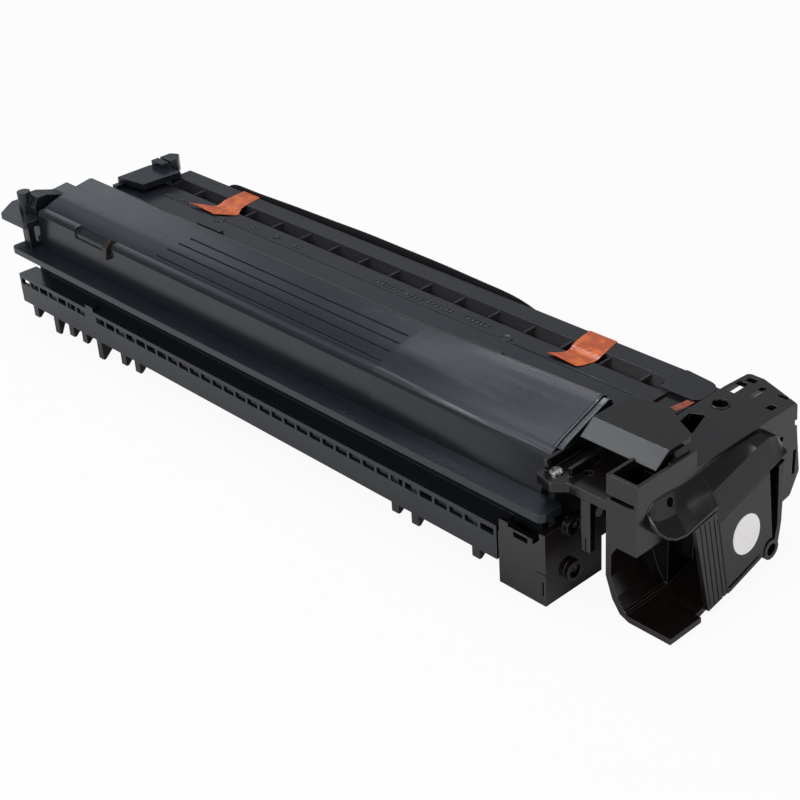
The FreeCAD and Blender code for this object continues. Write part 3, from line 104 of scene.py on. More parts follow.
class Paint:
    """One procedural material and the calls that build it."""

    def __init__(self, name: str) -> None:
        """Start a material with a Principled shader.

        Args:
            name: The material's name.
        """
        self.material = bpy.data.materials.new(name)
        self.material.use_nodes = True
        self.tree = self.material.node_tree
        self.tree.nodes.clear()
        self.output = self.tree.nodes.new("ShaderNodeOutputMaterial")
        self.shader = self.tree.nodes.new("ShaderNodeBsdfPrincipled")
        self.tree.links.new(self.shader.outputs[0], self.output.inputs[0])
        self.place = self.add("ShaderNodeTexCoord", output="Object")

    def feed(self, socket: bpy.types.NodeSocket, value: Any) -> None:
        """Set or link an input.

        Args:
            socket: The input.
            value: A wire, a number or a colour.
        """
        if isinstance(value, Wire):
            self.tree.links.new(value.socket, socket)
        elif isinstance(value, (tuple, list)) and len(value) == 3 and socket.type == "RGBA":
            socket.default_value = (*value, 1.0)
        else:
            socket.default_value = value

    def add(self, kind: str, settings: Dict[str, Any] = None, inputs: Dict[Any, Any] = None,
            output: Union[int, str] = 0) -> Wire:
        """Add a node.

        Args:
            kind: The node's type.
            settings: Its settings; "stops" are a ramp's (position, colour) pairs.
            inputs: Values or wires for its sockets, by name or index.
            output: The output to return.

        Returns:
            The chosen output.
        """
        node = self.tree.nodes.new(kind)
        for key, value in (settings or {}).items():
            if key == "stops":
                ramp = node.color_ramp.elements
                for element, (position, colour) in zip(ramp, value):
                    element.position = position
                    element.color = (*colour, 1.0)
                for position, colour in value[len(ramp):]:
                    ramp.new(position).color = (*colour, 1.0)
            else:
                setattr(node, key, value)
        for key, value in (inputs or {}).items():
            self.feed(node.inputs[key], value)
        return Wire(self, node.outputs[output])

    def noise(self, scale: float, detail: float = 3.0, rough: float = 0.55,
              stretch: Sequence[float] = (1.0, 1.0, 1.0)) -> Wire:
        """Noise over the object.

        Args:
            scale: Features per metre.
            detail: Octaves.
            rough: Weight of the finer octaves.
            stretch: Scale along each axis, to draw the noise out.

        Returns:
            A value from 0 to 1.
        """
        place = self.place
        if tuple(stretch) != (1.0, 1.0, 1.0):
            place = self.add("ShaderNodeMapping", {}, {"Vector": place, "Scale": tuple(stretch)})
        return self.add("ShaderNodeTexNoise", {}, {
            "Vector": place, "Scale": scale, "Detail": detail, "Roughness": rough})

    def band(self, value: Wire, low: float, high: float) -> Wire:
        """Return the value with the range from low to high spread over 0 to 1."""
        return self.add("ShaderNodeMapRange", {"interpolation_type": "SMOOTHSTEP"}, {
            "Value": value, "From Min": low, "From Max": high})

    def mix(self, factor: Value, first: Any, second: Any) -> Wire:
        """Return two colours mixed, by the share of the second."""
        return self.add("ShaderNodeMix", {"data_type": "RGBA"}, {0: factor, 6: first, 7: second},
                        output=2)

    def facing_up(self) -> Wire:
        """How far the surface faces up, from 0 to 1."""
        normal = self.add("ShaderNodeNewGeometry", output="Normal")
        upward = self.add("ShaderNodeSeparateXYZ", {}, {0: normal}, output="Z")
        return self.band(upward, 0.35, 1.0)

    def soft_edge(self, radius: float) -> Wire:
        """Return the normal with the edges rounded off by a radius in metres."""
        return self.add("ShaderNodeBevel", {"samples": 4}, {"Radius": radius})

    def edge(self, rounded: Wire) -> Wire:
        """Mask of the outer edges.

        Args:
            rounded: The rounded normal.

        Returns:
            A value near 1 along the edges.
        """
        normal = self.add("ShaderNodeNewGeometry", output="Normal")
        same = self.add("ShaderNodeVectorMath", {"operation": "DOT_PRODUCT"},
                        {0: normal, 1: rounded}, output="Value")
        return self.band(1.0 - same, 0.01, 0.16)

    def bump(self, height: Wire, strength: float, distance: float, normal: Wire = None) -> Wire:
        """Bump from a height.

        Args:
            height: The height.
            strength: Strength of the bump.
            distance: Depth in metres.
            normal: The normal beneath it.

        Returns:
            The bumped normal.
        """
        inputs = {"Height": height, "Strength": strength, "Distance": distance}
        if normal is not None:
            inputs["Normal"] = normal
        return self.add("ShaderNodeBump", {}, inputs)

    def finish(self, **sockets: Any) -> bpy.types.Material:
        """Feed the shader's sockets.

        Args:
            sockets: Values by socket name, with _ for a blank.

        Returns:
            The material.
        """
        for name, value in sockets.items():
            self.feed(self.shader.inputs[name.replace("_", " ")], value)
        return self.material


@dataclass(frozen=True)
class MouldedPlastic:
    """Dark moulded plastic with a fine grain, handling marks, dust and a painted highlight along
    its edges.
    """

    name: str
    colour: Colour
    # colour of wear and dust, and of the painted highlight along the edges
    wear_dust_and_highlight: Colour
    roughness: float
    cloud_scale: float = 14.0
    smear_scale: float = 55.0
    scratch_scale: float = 420.0
    grain_scale: float = 1400.0
    grain_depth: float = 0.03
    coat: float = 0.0
    dust: float = 0.12
    scuffs: float = 0.5
    # share of the edge mask: partly edge wear, partly a painted edge highlight
    rim_wear_and_highlight: float = 0.55
    edge_radius: float = 0.0005
    coat_roughness: float = 0.18

    def material(self) -> bpy.types.Material:
        """Build the material.

        Returns:
            The finished material.
        """
        paint = Paint(self.name)
        cloud = paint.noise(self.cloud_scale, 4.0, 0.6)
        fine = paint.noise(self.grain_scale, 2.0, 0.5)
        smear = paint.band(paint.noise(self.smear_scale, 5.0, 0.7, (0.35, 1.4, 1.4)), 0.52, 0.78)
        scratch = paint.band(
            paint.noise(self.scratch_scale, 3.0, 0.6, (0.05, 1.3, 1.3)), 0.64, 0.72)
        rounded = paint.soft_edge(self.edge_radius)
        rim = paint.edge(rounded)
        dusty = paint.facing_up() * paint.band(cloud, 0.35, 0.8) * self.dust
        # edges lighten towards the second colour: partly edge wear, partly a painted edge
        # highlight; scratches and upward dust add to it
        wear_dust_and_highlight = rim * self.rim_wear_and_highlight + scratch * (0.10 * self.scuffs) + dusty
        base = paint.mix(paint.band(cloud, 0.3, 0.7), self.colour,
                         tuple(c * 0.82 for c in self.colour))
        colour = paint.mix(wear_dust_and_highlight, base, self.wear_dust_and_highlight)
        rough = (self.roughness + (cloud - 0.5) * 0.10 + smear * (0.16 * self.scuffs)
                 + (fine - 0.5) * 0.03 + dusty * 0.4)
        normal = paint.bump(fine, self.grain_depth, 0.00004, rounded)
        return paint.finish(Base_Color=colour, Roughness=rough, Normal=normal,
                            Coat_Weight=self.coat, Coat_Roughness=self.coat_roughness)


@dataclass(frozen=True)
class PlainPlastic:
    """Pale engineering plastic of gears, screws and holders."""

    name: str
    colour: Colour
    shade: Colour
    roughness: float

    def material(self) -> bpy.types.Material:
        """Build the material.

        Returns:
            The finished material.
        """
        paint = Paint(self.name)
        cloud = paint.noise(60.0, 3.0, 0.6)
        fine = paint.noise(900.0, 2.0, 0.5)
        rounded = paint.soft_edge(0.0003)
        colour = paint.mix(paint.band(cloud, 0.3, 0.75), self.colour, self.shade)
        rough = self.roughness + (fine - 0.5) * 0.12 + (cloud - 0.5) * 0.08
        return paint.finish(Base_Color=colour, Roughness=rough,
                            Normal=paint.bump(fine, 0.12, 0.00003, rounded))


@dataclass(frozen=True)
class Metal:
    """Turned, brushed or polished metal."""

    name: str
    colour: Colour
    roughness: float
    brush: Place
    brush_scale: float = 500.0
    brush_depth: float = 0.15

    def material(self) -> bpy.types.Material:
        """Build the material.

        Returns:
            The finished material.
        """
        paint = Paint(self.name)
        lines = paint.noise(self.brush_scale, 3.0, 0.6, self.brush)
        stain = paint.noise(25.0, 4.0, 0.6)
        rounded = paint.soft_edge(0.0003)
        dull = tuple(c * 0.72 for c in self.colour)
        colour = paint.mix(paint.band(stain, 0.45, 0.8), self.colour, dull)
        rough = self.roughness + (lines - 0.5) * 0.25 + paint.band(stain, 0.5, 0.8) * 0.12
        return paint.finish(Base_Color=colour, Roughness=rough, Metallic=1.0,
                            Normal=paint.bump(lines, self.brush_depth, 0.00003, rounded))


@dataclass(frozen=True)
class Coated:
    """A glossy coated surface, such as the drum's photoconductor or a film."""

    name: str
    colour: Colour
    tint: Colour
    roughness: float
    ripple: float = 0.0
    ripple_scale: float = 30.0

    def material(self) -> bpy.types.Material:
        """Build the material.

        Returns:
            The finished material.
        """
        paint = Paint(self.name)
        cloud = paint.noise(40.0, 3.0, 0.5, (0.15, 1.0, 1.0))
        wave = paint.noise(self.ripple_scale, 2.0, 0.5)
        speck = paint.band(paint.noise(1600.0, 1.0, 0.5), 0.68, 0.76)
        colour = paint.mix(paint.band(cloud, 0.3, 0.7), self.colour, self.tint)
        rough = self.roughness + (cloud - 0.5) * 0.06 + speck * 0.2
        return paint.finish(Base_Color=colour, Roughness=rough,
                            Normal=paint.bump(wave, self.ripple, 0.0006),
                            Coat_Weight=0.6, Coat_Roughness=0.06)


@dataclass(frozen=True)
class Rubber:
    """Matt elastomer of a roller or a wiping blade."""

    name: str
    colour: Colour
    bloom: Colour

    def material(self) -> bpy.types.Material:
        """Build the material.

        Returns:
            The finished material.
        """
        paint = Paint(self.name)
        cloud = paint.noise(35.0, 4.0, 0.6)
        fine = paint.noise(2200.0, 2.0, 0.6)
        colour = paint.mix(paint.band(cloud, 0.45, 0.85) * 0.5, self.colour, self.bloom)
        rough = 0.72 + (fine - 0.5) * 0.2
        return paint.finish(Base_Color=colour, Roughness=rough,
                            Normal=paint.bump(fine, 0.2, 0.00004))


@dataclass(frozen=True)
class AdhesiveTape:
    """Orange polyester tape, wrinkled where it bridges a gap."""

    name: str
    colour: Colour
    deep: Colour

    def material(self) -> bpy.types.Material:
        """Build the material.

        Returns:
            The finished material.
        """
        paint = Paint(self.name)
        wrinkle = paint.noise(130.0, 4.0, 0.6, (1.0, 0.45, 0.45))
        stuck = paint.band(paint.noise(220.0, 3.0, 0.6), 0.42, 0.62)
        colour = paint.mix(stuck, self.deep, self.colour)
        rough = 0.28 + stuck * 0.18
        return paint.finish(Base_Color=colour, Roughness=rough,
                            Normal=paint.bump(wrinkle, 0.5, 0.0008),
                            Coat_Weight=0.3, Coat_Roughness=0.12)


@dataclass(frozen=True)
class PaperLabel:
    """White film label with a slightly soiled rim."""

    name: str
    colour: Colour
    soiled: Colour

    def material(self) -> bpy.types.Material:
        """Build the material.

        Returns:
            The finished material.
        """
        paint = Paint(self.name)
        cloud = paint.noise(160.0, 4.0, 0.6)
        colour = paint.mix(paint.band(cloud, 0.55, 0.85) * 0.6, self.colour, self.soiled)
        fine = paint.noise(2500.0, 2.0, 0.5)
        return paint.finish(Base_Color=colour, Roughness=0.45 + (fine - 0.5) * 0.15,
                            Normal=paint.bump(fine, 0.1, 0.00003))


class Stock(Enum):
    """The finishes, each under the record's material slot that it dresses."""

    # the second colour of each moulded plastic is its wear, dust and painted edge-highlight
    # colour; the handle's is brighter for a stronger painted edge highlight
    HOUSING = ("housing_plastic", MouldedPlastic(
        "satin_housing", (0.0080, 0.0105, 0.0145), (0.066, 0.078, 0.094), 0.23, dust=0.06))
    HANDLE = ("handle_plastic", MouldedPlastic(
        "gloss_handle", (0.0054, 0.0040, 0.0036), (0.120, 0.104, 0.096), 0.17,
        coat=0.06, dust=0.02))
    DECK = ("housing_plastic", MouldedPlastic(
        "deck_plastic", (0.0070, 0.0070, 0.0095), (0.066, 0.070, 0.080), 0.30, dust=0.05))
    INNER = ("inner_plastic", MouldedPlastic(
        "inner_moulding", (0.012, 0.012, 0.014), (0.06, 0.06, 0.065), 0.45, dust=0.04))
    GEAR = ("gear_plastic", PlainPlastic(
        "acetal", (0.72, 0.71, 0.66), (0.60, 0.58, 0.52), 0.38))
    STEEL = ("steel", Metal("ground_steel", (0.60, 0.60, 0.62), 0.34, (0.05, 1.0, 1.0)))
    BRIGHT = ("bright_steel", Metal("bright_steel", (0.60, 0.59, 0.57), 0.27, (1.0, 1.0, 1.0)))
    DRUM = ("drum_coat", Coated("photoconductor", (0.05, 0.22, 0.26), (0.04, 0.17, 0.22), 0.16))
    SLEEVE = ("sleeve_metal", Metal(
        "blasted_sleeve", (0.30, 0.30, 0.32), 0.5, (1.0, 1.0, 1.0), 1800.0, 0.4))
    ROLLER = ("roller_rubber", Rubber("roller_rubber", (0.022, 0.022, 0.024), (0.08, 0.08, 0.08)))
    BLADE = ("blade_rubber", Rubber("blade_urethane", (0.42, 0.22, 0.10), (0.5, 0.34, 0.2)))
    TAPE = ("orange_tape", AdhesiveTape("orange_tape", (0.60, 0.120, 0.012), (0.42, 0.066, 0.008)))
    OLD_TAPE = ("orange_tape", AdhesiveTape(
        "dull_tape", (0.30, 0.055, 0.012), (0.14, 0.022, 0.008)))
    LABEL = ("white_label", PaperLabel("white_label", (0.93, 0.93, 0.92), (0.70, 0.68, 0.65)))
    FILM = ("black_film", Coated("black_film", (0.012, 0.012, 0.014), (0.02, 0.02, 0.022),
                                 0.22, 0.35, 22.0))
    CLIP = ("brown_clip", MouldedPlastic(
        "brown_clip", (0.020, 0.013, 0.011), (0.09, 0.06, 0.05), 0.35, dust=0.05))

    @property
    def slot(self) -> str:
        """The record's material slot."""
        return self.value[0]


class Wardrobe:
    """Builds each finish once and puts it on the pieces."""

    def __init__(self) -> None:
        """Build every finish."""
        self.materials = {stock: stock.value[1].material() for stock in Stock}
        self.by_slot = {stock.slot: stock for stock in reversed(Stock)}

    def dress(self, piece: Piece, stock: Stock) -> None:
        """Give a piece one finish in place of what it wore."""
        piece.data.materials.clear()
        piece.data.materials.append(self.materials[stock])

    def dress_nodes(self) -> None:
        """Dress every node of the frame by its slot in the record."""
        for entry in frame["record"]["subparts"]:
            piece = frame["nodes"][entry["node"]]
            self.dress(piece, self.by_slot[entry["material_slot"]])
            LOG.info("node %s dressed as %s", entry["node"], entry["material_slot"])


class Bench:
    """Modelling operations, in millimetres, that the pieces are made by."""

    def __init__(self, wardrobe: Wardrobe) -> None:
        """Keep the finishes that the pieces are dressed in."""
        self.wardrobe = wardrobe

    @staticmethod
    def only(piece: Piece) -> None:
        """Select one piece and make it active.

        Args:
            piece: The piece.
        """
        bpy.ops.object.select_all(action="DESELECT")
        piece.select_set(True)
        bpy.context.view_layer.objects.active = piece

    def settle(self) -> Piece:
        """Move the new primitive's place, turn and size into its mesh.

        Returns:
            The primitive.
        """
        piece = bpy.context.object
        self.only(piece)
        bpy.ops.object.transform_apply(location=True, rotation=True, scale=True)
        return piece

    def block(self, low: Place, high: Place) -> Piece:
        """A box between two corners.

        Args:
            low: The lowest corner.
            high: The highest corner.

        Returns:
            The box.
        """
        bpy.ops.object.select_all(action="DESELECT")
        middle = [(a + b) / 2 * MM for a, b in zip(low, high)]
        bpy.ops.mesh.primitive_cube_add(size=1.0, location=middle)
        bpy.context.object.scale = [(b - a) * MM for a, b in zip(low, high)]
        return self.settle()

    def rod(self, start: Place, end: Place, radius: float, sides: int = 32) -> Piece:
        """A round bar between two places.

        Args:
            start: The middle of one end.
            end: The middle of the other end.
            radius: Its radius.
            sides: Faces round it.

        Returns:
            The bar.
        """
        bpy.ops.object.select_all(action="DESELECT")
        first, last = Vector(start) * MM, Vector(end) * MM
        run = last - first
        bpy.ops.mesh.primitive_cylinder_add(
            vertices=sides, radius=radius * MM, depth=run.length, location=(first + last) / 2,
            rotation=run.to_track_quat("Z", "Y").to_euler())
        return self.settle()

    @staticmethod
    def leave_edit() -> None:
        """Go back to object mode."""
        bpy.ops.object.mode_set(mode="OBJECT")

    def pick(self, piece: Piece, test: FaceTest) -> None:
        """Go into edit mode with the faces selected that pass a test.

        Args:
            piece: The piece.
            test: Takes a face's middle, in millimetres, and its normal.
        """
        self.only(piece)
        bpy.ops.object.mode_set(mode="EDIT")
        bpy.ops.mesh.select_mode(type="FACE")
        bpy.ops.mesh.select_all(action="DESELECT")
        self.leave_edit()
        for face in piece.data.polygons:
            face.select = test(face.center / MM, face.normal)
        bpy.ops.object.mode_set(mode="EDIT")

    def inset(self, piece: Piece, test: FaceTest, rim: float, depth: float = 0.0) -> None:
        """Inset faces and push them in or out.

        Args:
            piece: The piece.
            test: Picks the faces.
            rim: Width of the rim that is left.
            depth: Height of the inner face over the rim.
        """
        self.pick(piece, test)
        bpy.ops.mesh.inset(thickness=rim * MM, depth=depth * MM)
        self.leave_edit()

    def extrude(self, piece: Piece, test: FaceTest, move: Place) -> None:
        """Extrude faces.

        Args:
            piece: The piece.
            test: Picks the faces.
            move: How far they move.
        """
        self.pick(piece, test)
        bpy.ops.mesh.extrude_region_move(TRANSFORM_OT_translate={"value": [v * MM for v in move]})
        self.leave_edit()

    def resize(self, piece: Piece, scale: Place, centre: Place) -> None:
        """Scale a whole mesh about a place.

        Args:
            piece: The piece.
            scale: Scale along each axis.
            centre: What stays where it is.
        """
        self.pick(piece, lambda middle, normal: True)
        bpy.ops.transform.resize(value=scale, center_override=[v * MM for v in centre])
        self.leave_edit()

    def turn(self, piece: Piece, degrees: float, centre: Place) -> None:
        """Turn a whole mesh about the upright axis.

        Args:
            piece: The piece.
            degrees: The angle, clockwise from above.
            centre: A place on the axis.
        """
        self.pick(piece, lambda middle, normal: True)
        bpy.ops.transform.rotate(value=math.radians(degrees), orient_axis="Z",
                                 center_override=[v * MM for v in centre])
        self.leave_edit()

    def slice(self, piece: Piece, place: Place, normal: Place) -> None:
        """Cut away what lies past a plane and close the cut.

        Args:
            piece: The piece.
            place: A place on the plane.
            normal: The side that goes.
        """
        self.pick(piece, lambda middle, face: True)
        bpy.ops.mesh.bisect(plane_co=[v * MM for v in place], plane_no=normal, use_fill=True,
                            clear_outer=True)
        self.leave_edit()

    def modify(self, piece: Piece, kind: str, **settings: Any) -> None:
        """Add a modifier and apply it.

        Args:
            piece: The piece.
            kind: The modifier's type.
            settings: Its settings.
        """
        self.only(piece)
        change = piece.modifiers.new(kind.lower(), kind)
        for name, value in settings.items():
            setattr(change, name, value)
        bpy.ops.object.modifier_apply(modifier=change.name)

    def bevel(self, piece: Piece, width: float, segments: int = 2,
              angle: float = 40.0) -> None:
        """Round the sharp edges.

        Args:
            piece: The piece.
            width: Width of the rounding.
            segments: Faces across it.
            angle: Edges sharper than this are rounded.
        """
        self.modify(piece, "BEVEL", width=width * MM, segments=segments, limit_method="ANGLE",
                    angle_limit=math.radians(angle), use_clamp_overlap=True)

    def carve(self, piece: Piece, cutter: Piece) -> None:
        """Cut a piece with another, which is used up."""
        self.modify(piece, "BOOLEAN", object=cutter, operation="DIFFERENCE", solver="EXACT")
        bpy.data.objects.remove(cutter, do_unlink=True)

    def fuse(self, piece: Piece, other: Piece) -> None:
        """Fuse a piece with another, which is used up."""
        self.modify(piece, "BOOLEAN", object=other, operation="UNION", solver="EXACT")
        bpy.data.objects.remove(other, do_unlink=True)

    def join(self, pieces: Sequence[Piece]) -> Piece:
        """Join pieces into one.

        Args:
            pieces: The pieces.

        Returns:
            The joined piece.
        """
        self.only(pieces[0])
        for piece in pieces[1:]:
            piece.select_set(True)
        bpy.ops.object.join()
        return bpy.context.object

    def clean(self, piece: Piece) -> None:
        """Merge doubled points and turn every face outwards.

        Args:
            piece: The piece.
        """
        self.pick(piece, lambda middle, normal: True)
        bpy.ops.mesh.remove_doubles(threshold=MERGE)
        bpy.ops.mesh.normals_make_consistent(inside=False)
        self.leave_edit()

    def copy_node(self, node: str) -> Piece:
        """A merged copy of a CAD node's mesh.

        Args:
            node: The node's name.

        Returns:
            The copy.
        """
        source = frame["nodes"][node]
        piece = bpy.data.objects.new(node + "_copy", source.data.copy())
        bpy.context.scene.collection.objects.link(piece)
        self.clean(piece)
        self.pick(piece, lambda middle, normal: True)
        bpy.ops.mesh.dissolve_limited(angle_limit=math.radians(DISSOLVE))
        self.leave_edit()
        return piece

    def film(self, surface: Surface, across: int, along: int, thick: float) -> Piece:
        """A thin film laid over a surface.

        Args:
            surface: Gives the place for two shares from 0 to 1.
            across: Faces across the film.
            along: Faces along the film.
            thick: Its thickness.

        Returns:
            The film.
        """
        bpy.ops.object.select_all(action="DESELECT")
        bpy.ops.mesh.primitive_grid_add(x_subdivisions=across, y_subdivisions=along, size=1.0)
        piece = bpy.context.object
        for vertex in piece.data.vertices:
            vertex.co = Vector(surface(vertex.co.x + 0.5, vertex.co.y + 0.5)) * MM
        self.clean(piece)
        self.modify(piece, "SOLIDIFY", thickness=thick * MM, offset=0.0, use_even_offset=True)
        return piece

    def deliver(self, piece: Piece, name: str, stock: Stock, smooth: float = 35.0,
                body: str = "frame") -> Piece:
        """Name, dress and register a finished piece.

        Args:
            piece: The piece.
            name: Its name.
            stock: Its finish.
            smooth: Edges flatter than this angle are shaded smooth.
            body: The body that it rides on.

        Returns:
            The piece.
        """
        self.clean(piece)
        self.only(piece)
        bpy.ops.object.shade_smooth_by_angle(angle=math.radians(smooth))
        piece.name = piece.data.name = name
        self.wardrobe.dress(piece, stock)
        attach(piece, body)
        LOG.info("piece %s: %d faces, %s", name, len(piece.data.polygons), stock.slot)
        return piece


def upper(middle: Vector, normal: Vector) -> bool:
    """Pick the faces that look up."""
    return normal.z > 0.9


def on_curve(points: Sequence[Place], share: float) -> Vector:
    """A place on a smooth curve through points.

    Args:
        points: The points.
        share: Where on it, from 0 to 1.

    Returns:
        The place.
    """
    spans = len(points) - 1
    index = min(int(share * spans), spans - 1)
    t = share * spans - index
    ring = [Vector(points[min(max(index + k, 0), spans)]) for k in (-1, 0, 1, 2)]
    return 0.5 * (2 * ring[1] + (ring[2] - ring[0]) * t
                  + (2 * ring[0] - 5 * ring[1] + 4 * ring[2] - ring[3]) * t ** 2
                  + (3 * ring[1] - ring[0] - 3 * ring[2] + ring[3]) * t ** 3)


@dataclass
class Assembly:
    """A sub-assembly, with the modelling operations that build it."""

    bench: Bench

    def build(self) -> None:
        """Build the sub-assembly's pieces."""
        raise NotImplementedError


@dataclass
class ShippingTape(Assembly):
    """One strip of orange tape, laid from the deck plate to the ledge with a loose end."""

    name: str
    node: str
    rows: Tuple[Tuple[Place, Place], ...]
    stock: Stock = Stock.TAPE
    thick: float = 0.16
    sag: float = 0.35
    stuck: float = 0.55
    ripple: float = 0.10
    waves: Spot = (9.0, 5.0)
    faces: Tuple[int, int] = (24, 40)

    def surface(self, across: float, along: float) -> Vector:
        """A place on the strip.

        Args:
            across: Share from its left edge.
            along: Share from its upper end.

        Returns:
            The place.
        """
        left = on_curve([row[0] for row in self.rows], along)
        right = on_curve([row[1] for row in self.rows], along)
        place = left.lerp(right, across)
        loose = max(0.0, along - self.stuck) / (1.0 - self.stuck)
        place.z += self.sag * loose * math.sin(math.pi * across)
        place.z += self.ripple * loose * math.sin(self.waves[0] * across + self.waves[1] * along)
        return place

    def build(self) -> None:
        """Build the strip."""
        piece = self.bench.film(self.surface, *self.faces, self.thick)
        self.bench.deliver(piece, self.name, self.stock, CURVED)
        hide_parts(self.node)


@dataclass
class ShippingTapes(Assembly):
    """The three orange tapes that hold the film and the seals for shipping."""

    on_plate: float = 61.16
    on_ledge: float = 60.2

    def build(self) -> None:
        """Build the tapes, each from its rows of left and right edge."""
        top, low = self.on_plate, self.on_ledge
        ShippingTape(self.bench, "shipping_tape_far", "tape_far", (
            ((-136.4, 45.2, top), (-122.6, 45.2, top)),
            ((-135.8, 38.0, top), (-121.2, 38.0, top)),
            ((-135.2, 31.3, top), (-119.8, 31.3, top)),
            ((-134.8, 27.8, low + 0.2), (-118.4, 28.0, low + 0.2)),
            ((-134.6, 24.0, low + 0.1), (-115.8, 24.2, low)),
            ((-139.2, 20.2, low + 1.0), (-119.4, 20.8, low + 0.4)),
            ((-146.6, 16.1, low + 1.3), (-126.0, 16.4, low + 0.4)))).build()
        ShippingTape(self.bench, "shipping_tape_mid", "tape_mid", (
            ((111.2, 45.2, top), (127.2, 45.2, top)),
            ((112.2, 38.0, top), (128.7, 38.0, top)),
            ((113.8, 31.3, top), (130.4, 31.3, top)),
            ((114.6, 28.0, low + 0.2), (130.4, 28.0, low + 0.2)),
            ((114.8, 25.0, low + 0.1), (129.9, 25.0, low)),
            ((113.0, 21.6, low + 0.5), (129.0, 21.4, low + 0.1)),
            ((110.1, 17.8, low + 0.9), (127.2, 18.0, low + 0.2)))).build()
        ShippingTape(self.bench, "shipping_tape_near", "tape_near", (
            ((179.6, 16.0, top), (183.4, 15.6, top)),
            ((180.4, 20.0, top), (184.2, 20.0, top)),
            ((181.0, 25.4, top), (184.8, 25.8, top))), Stock.OLD_TAPE, sag=0.0).build()


@dataclass
class DeckTrough(Assembly):
    """The deck plate's sloping front wall with its row of triangular webs."""

    front: Spot = (26.0, 60.0)
    foot: Spot = (30.9, 55.98)
    edge: Spot = (34.4, 61.0)
    ends: float = 2.6
    web_thick: float = 0.9
    web_pitch: float = 22.25
    web_near: float = 11.4
    web_count: int = 16
    web_start: float = 0.2
    web_end: float = 0.4
    web_low: float = 0.7
    web_sunk: float = 0.3

    def trim(self, piece: Piece, sunk: float) -> None:
        """Cut a block down to what lies in the trough.

        Args:
            piece: The block.
            sunk: How far it goes into the trough's walls.
        """
        (y0, z0), (y1, z1), (y2, z2) = self.front, self.foot, self.edge
        floor = Vector((0.0, z1 - z0, y0 - y1)).normalized()
        wall = Vector((0.0, z2 - z1, y1 - y2)).normalized()
        foot = Vector((0.0, y1, z1))
        self.bench.slice(piece, foot + floor * sunk, floor)
        self.bench.slice(piece, foot + wall * sunk, wall)

    def build(self) -> None:
        """Slope a copy of the plate's wall and stand the webs against it."""
        bench = self.bench
        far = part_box("cleaner_housing")[0][0] / MM + self.ends
        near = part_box("developer_cover")[1][0] / MM
        below = self.foot[1] - CLEAR
        deck = bench.copy_node("cleaner_housing")
        cutter = bench.block((far, self.front[0], below),
                             (near - self.ends, self.edge[0] + CLEAR, self.edge[1] + CLEAR))
        self.trim(cutter, 0.0)
        bench.carve(deck, cutter)
        bench.deliver(deck, "deck_plate", Stock.DECK, FLAT)
        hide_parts("cleaner_housing")
        webs = []
        for k in range(self.web_count):
            x = near - self.web_near - k * self.web_pitch
            if x < far + CLEAR:
                break
            web = bench.block((x, self.front[0] + self.web_start, below),
                              (x + self.web_thick, self.edge[0] - self.web_end,
                               self.edge[1] - self.web_low))
            self.trim(web, self.web_sunk)
            webs.append(web)
        bench.deliver(bench.join(webs), "deck_webs", Stock.INNER)


@dataclass
class ProtectiveFilm(Assembly):
    """The black film that hangs behind the deck and wraps the drum's open side."""

    far: float = -167.6
    near: float = 110.3
    top: float = 62.4
    back: float = 46.2
    drops: Tuple[float, ...] = (0.0, 8.0, 16.0, 24.0, 31.0)
    drum: Spot = (27.9, 27.0)
    radius: float = 19.6
    wrap: Tuple[int, int, int] = (-12, -101, -11)
    bulge: float = 2.6
    curl: Spot = (0.8, 20.0)
    lift: float = 0.5
    ripple: Spot = (0.12, 31.0)
    fade: float = 7.0
    corners: Spot = (0.10, 0.22)
    corner_cut: float = 0.17
    thick: float = 0.4
    faces: Tuple[int, int] = (110, 44)

    def profile(self) -> List[Place]:
        """The film's section, from its top edge down and under the drum.

        Returns:
            The section's points.
        """
        points = [(0.0, self.back, self.top - drop) for drop in self.drops]
        for degrees in range(*self.wrap):
            angle = math.radians(degrees)
            points.append((0.0, self.drum[0] + self.radius * math.cos(angle),
                           self.drum[1] + self.radius * math.sin(angle)))
        return points

    def surface(self, along: float, down: float) -> Vector:
        """A place on the film.

        Args:
            along: Share from the far end.
            down: Share from the top edge.

        Returns:
            The place.
        """
        ends = max(0.0, 1.0 - along / self.corners[0], 1.0 - (1.0 - along) / self.corners[1])
        start = self.corner_cut * ends ** 2
        place = on_curve(self.profile(), start + (1.0 - start) * down)
        loose = math.exp(-self.fade * down)
        swell = math.sin(math.pi * along) ** 2
        place.x = self.far + (self.near - self.far) * along
        place.y += loose * self.bulge * (swell + self.curl[0] * math.exp(-self.curl[1] * along))
        place.z += loose * self.lift * swell
        place.y += self.ripple[0] * loose * math.sin(self.ripple[1] * along)
        return place

    def build(self) -> None:
        """Build the film."""
        piece = self.bench.film(self.surface, *self.faces, self.thick)
        self.bench.deliver(piece, "protective_film", Stock.FILM, CURVED)
        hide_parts("protective_sheet")


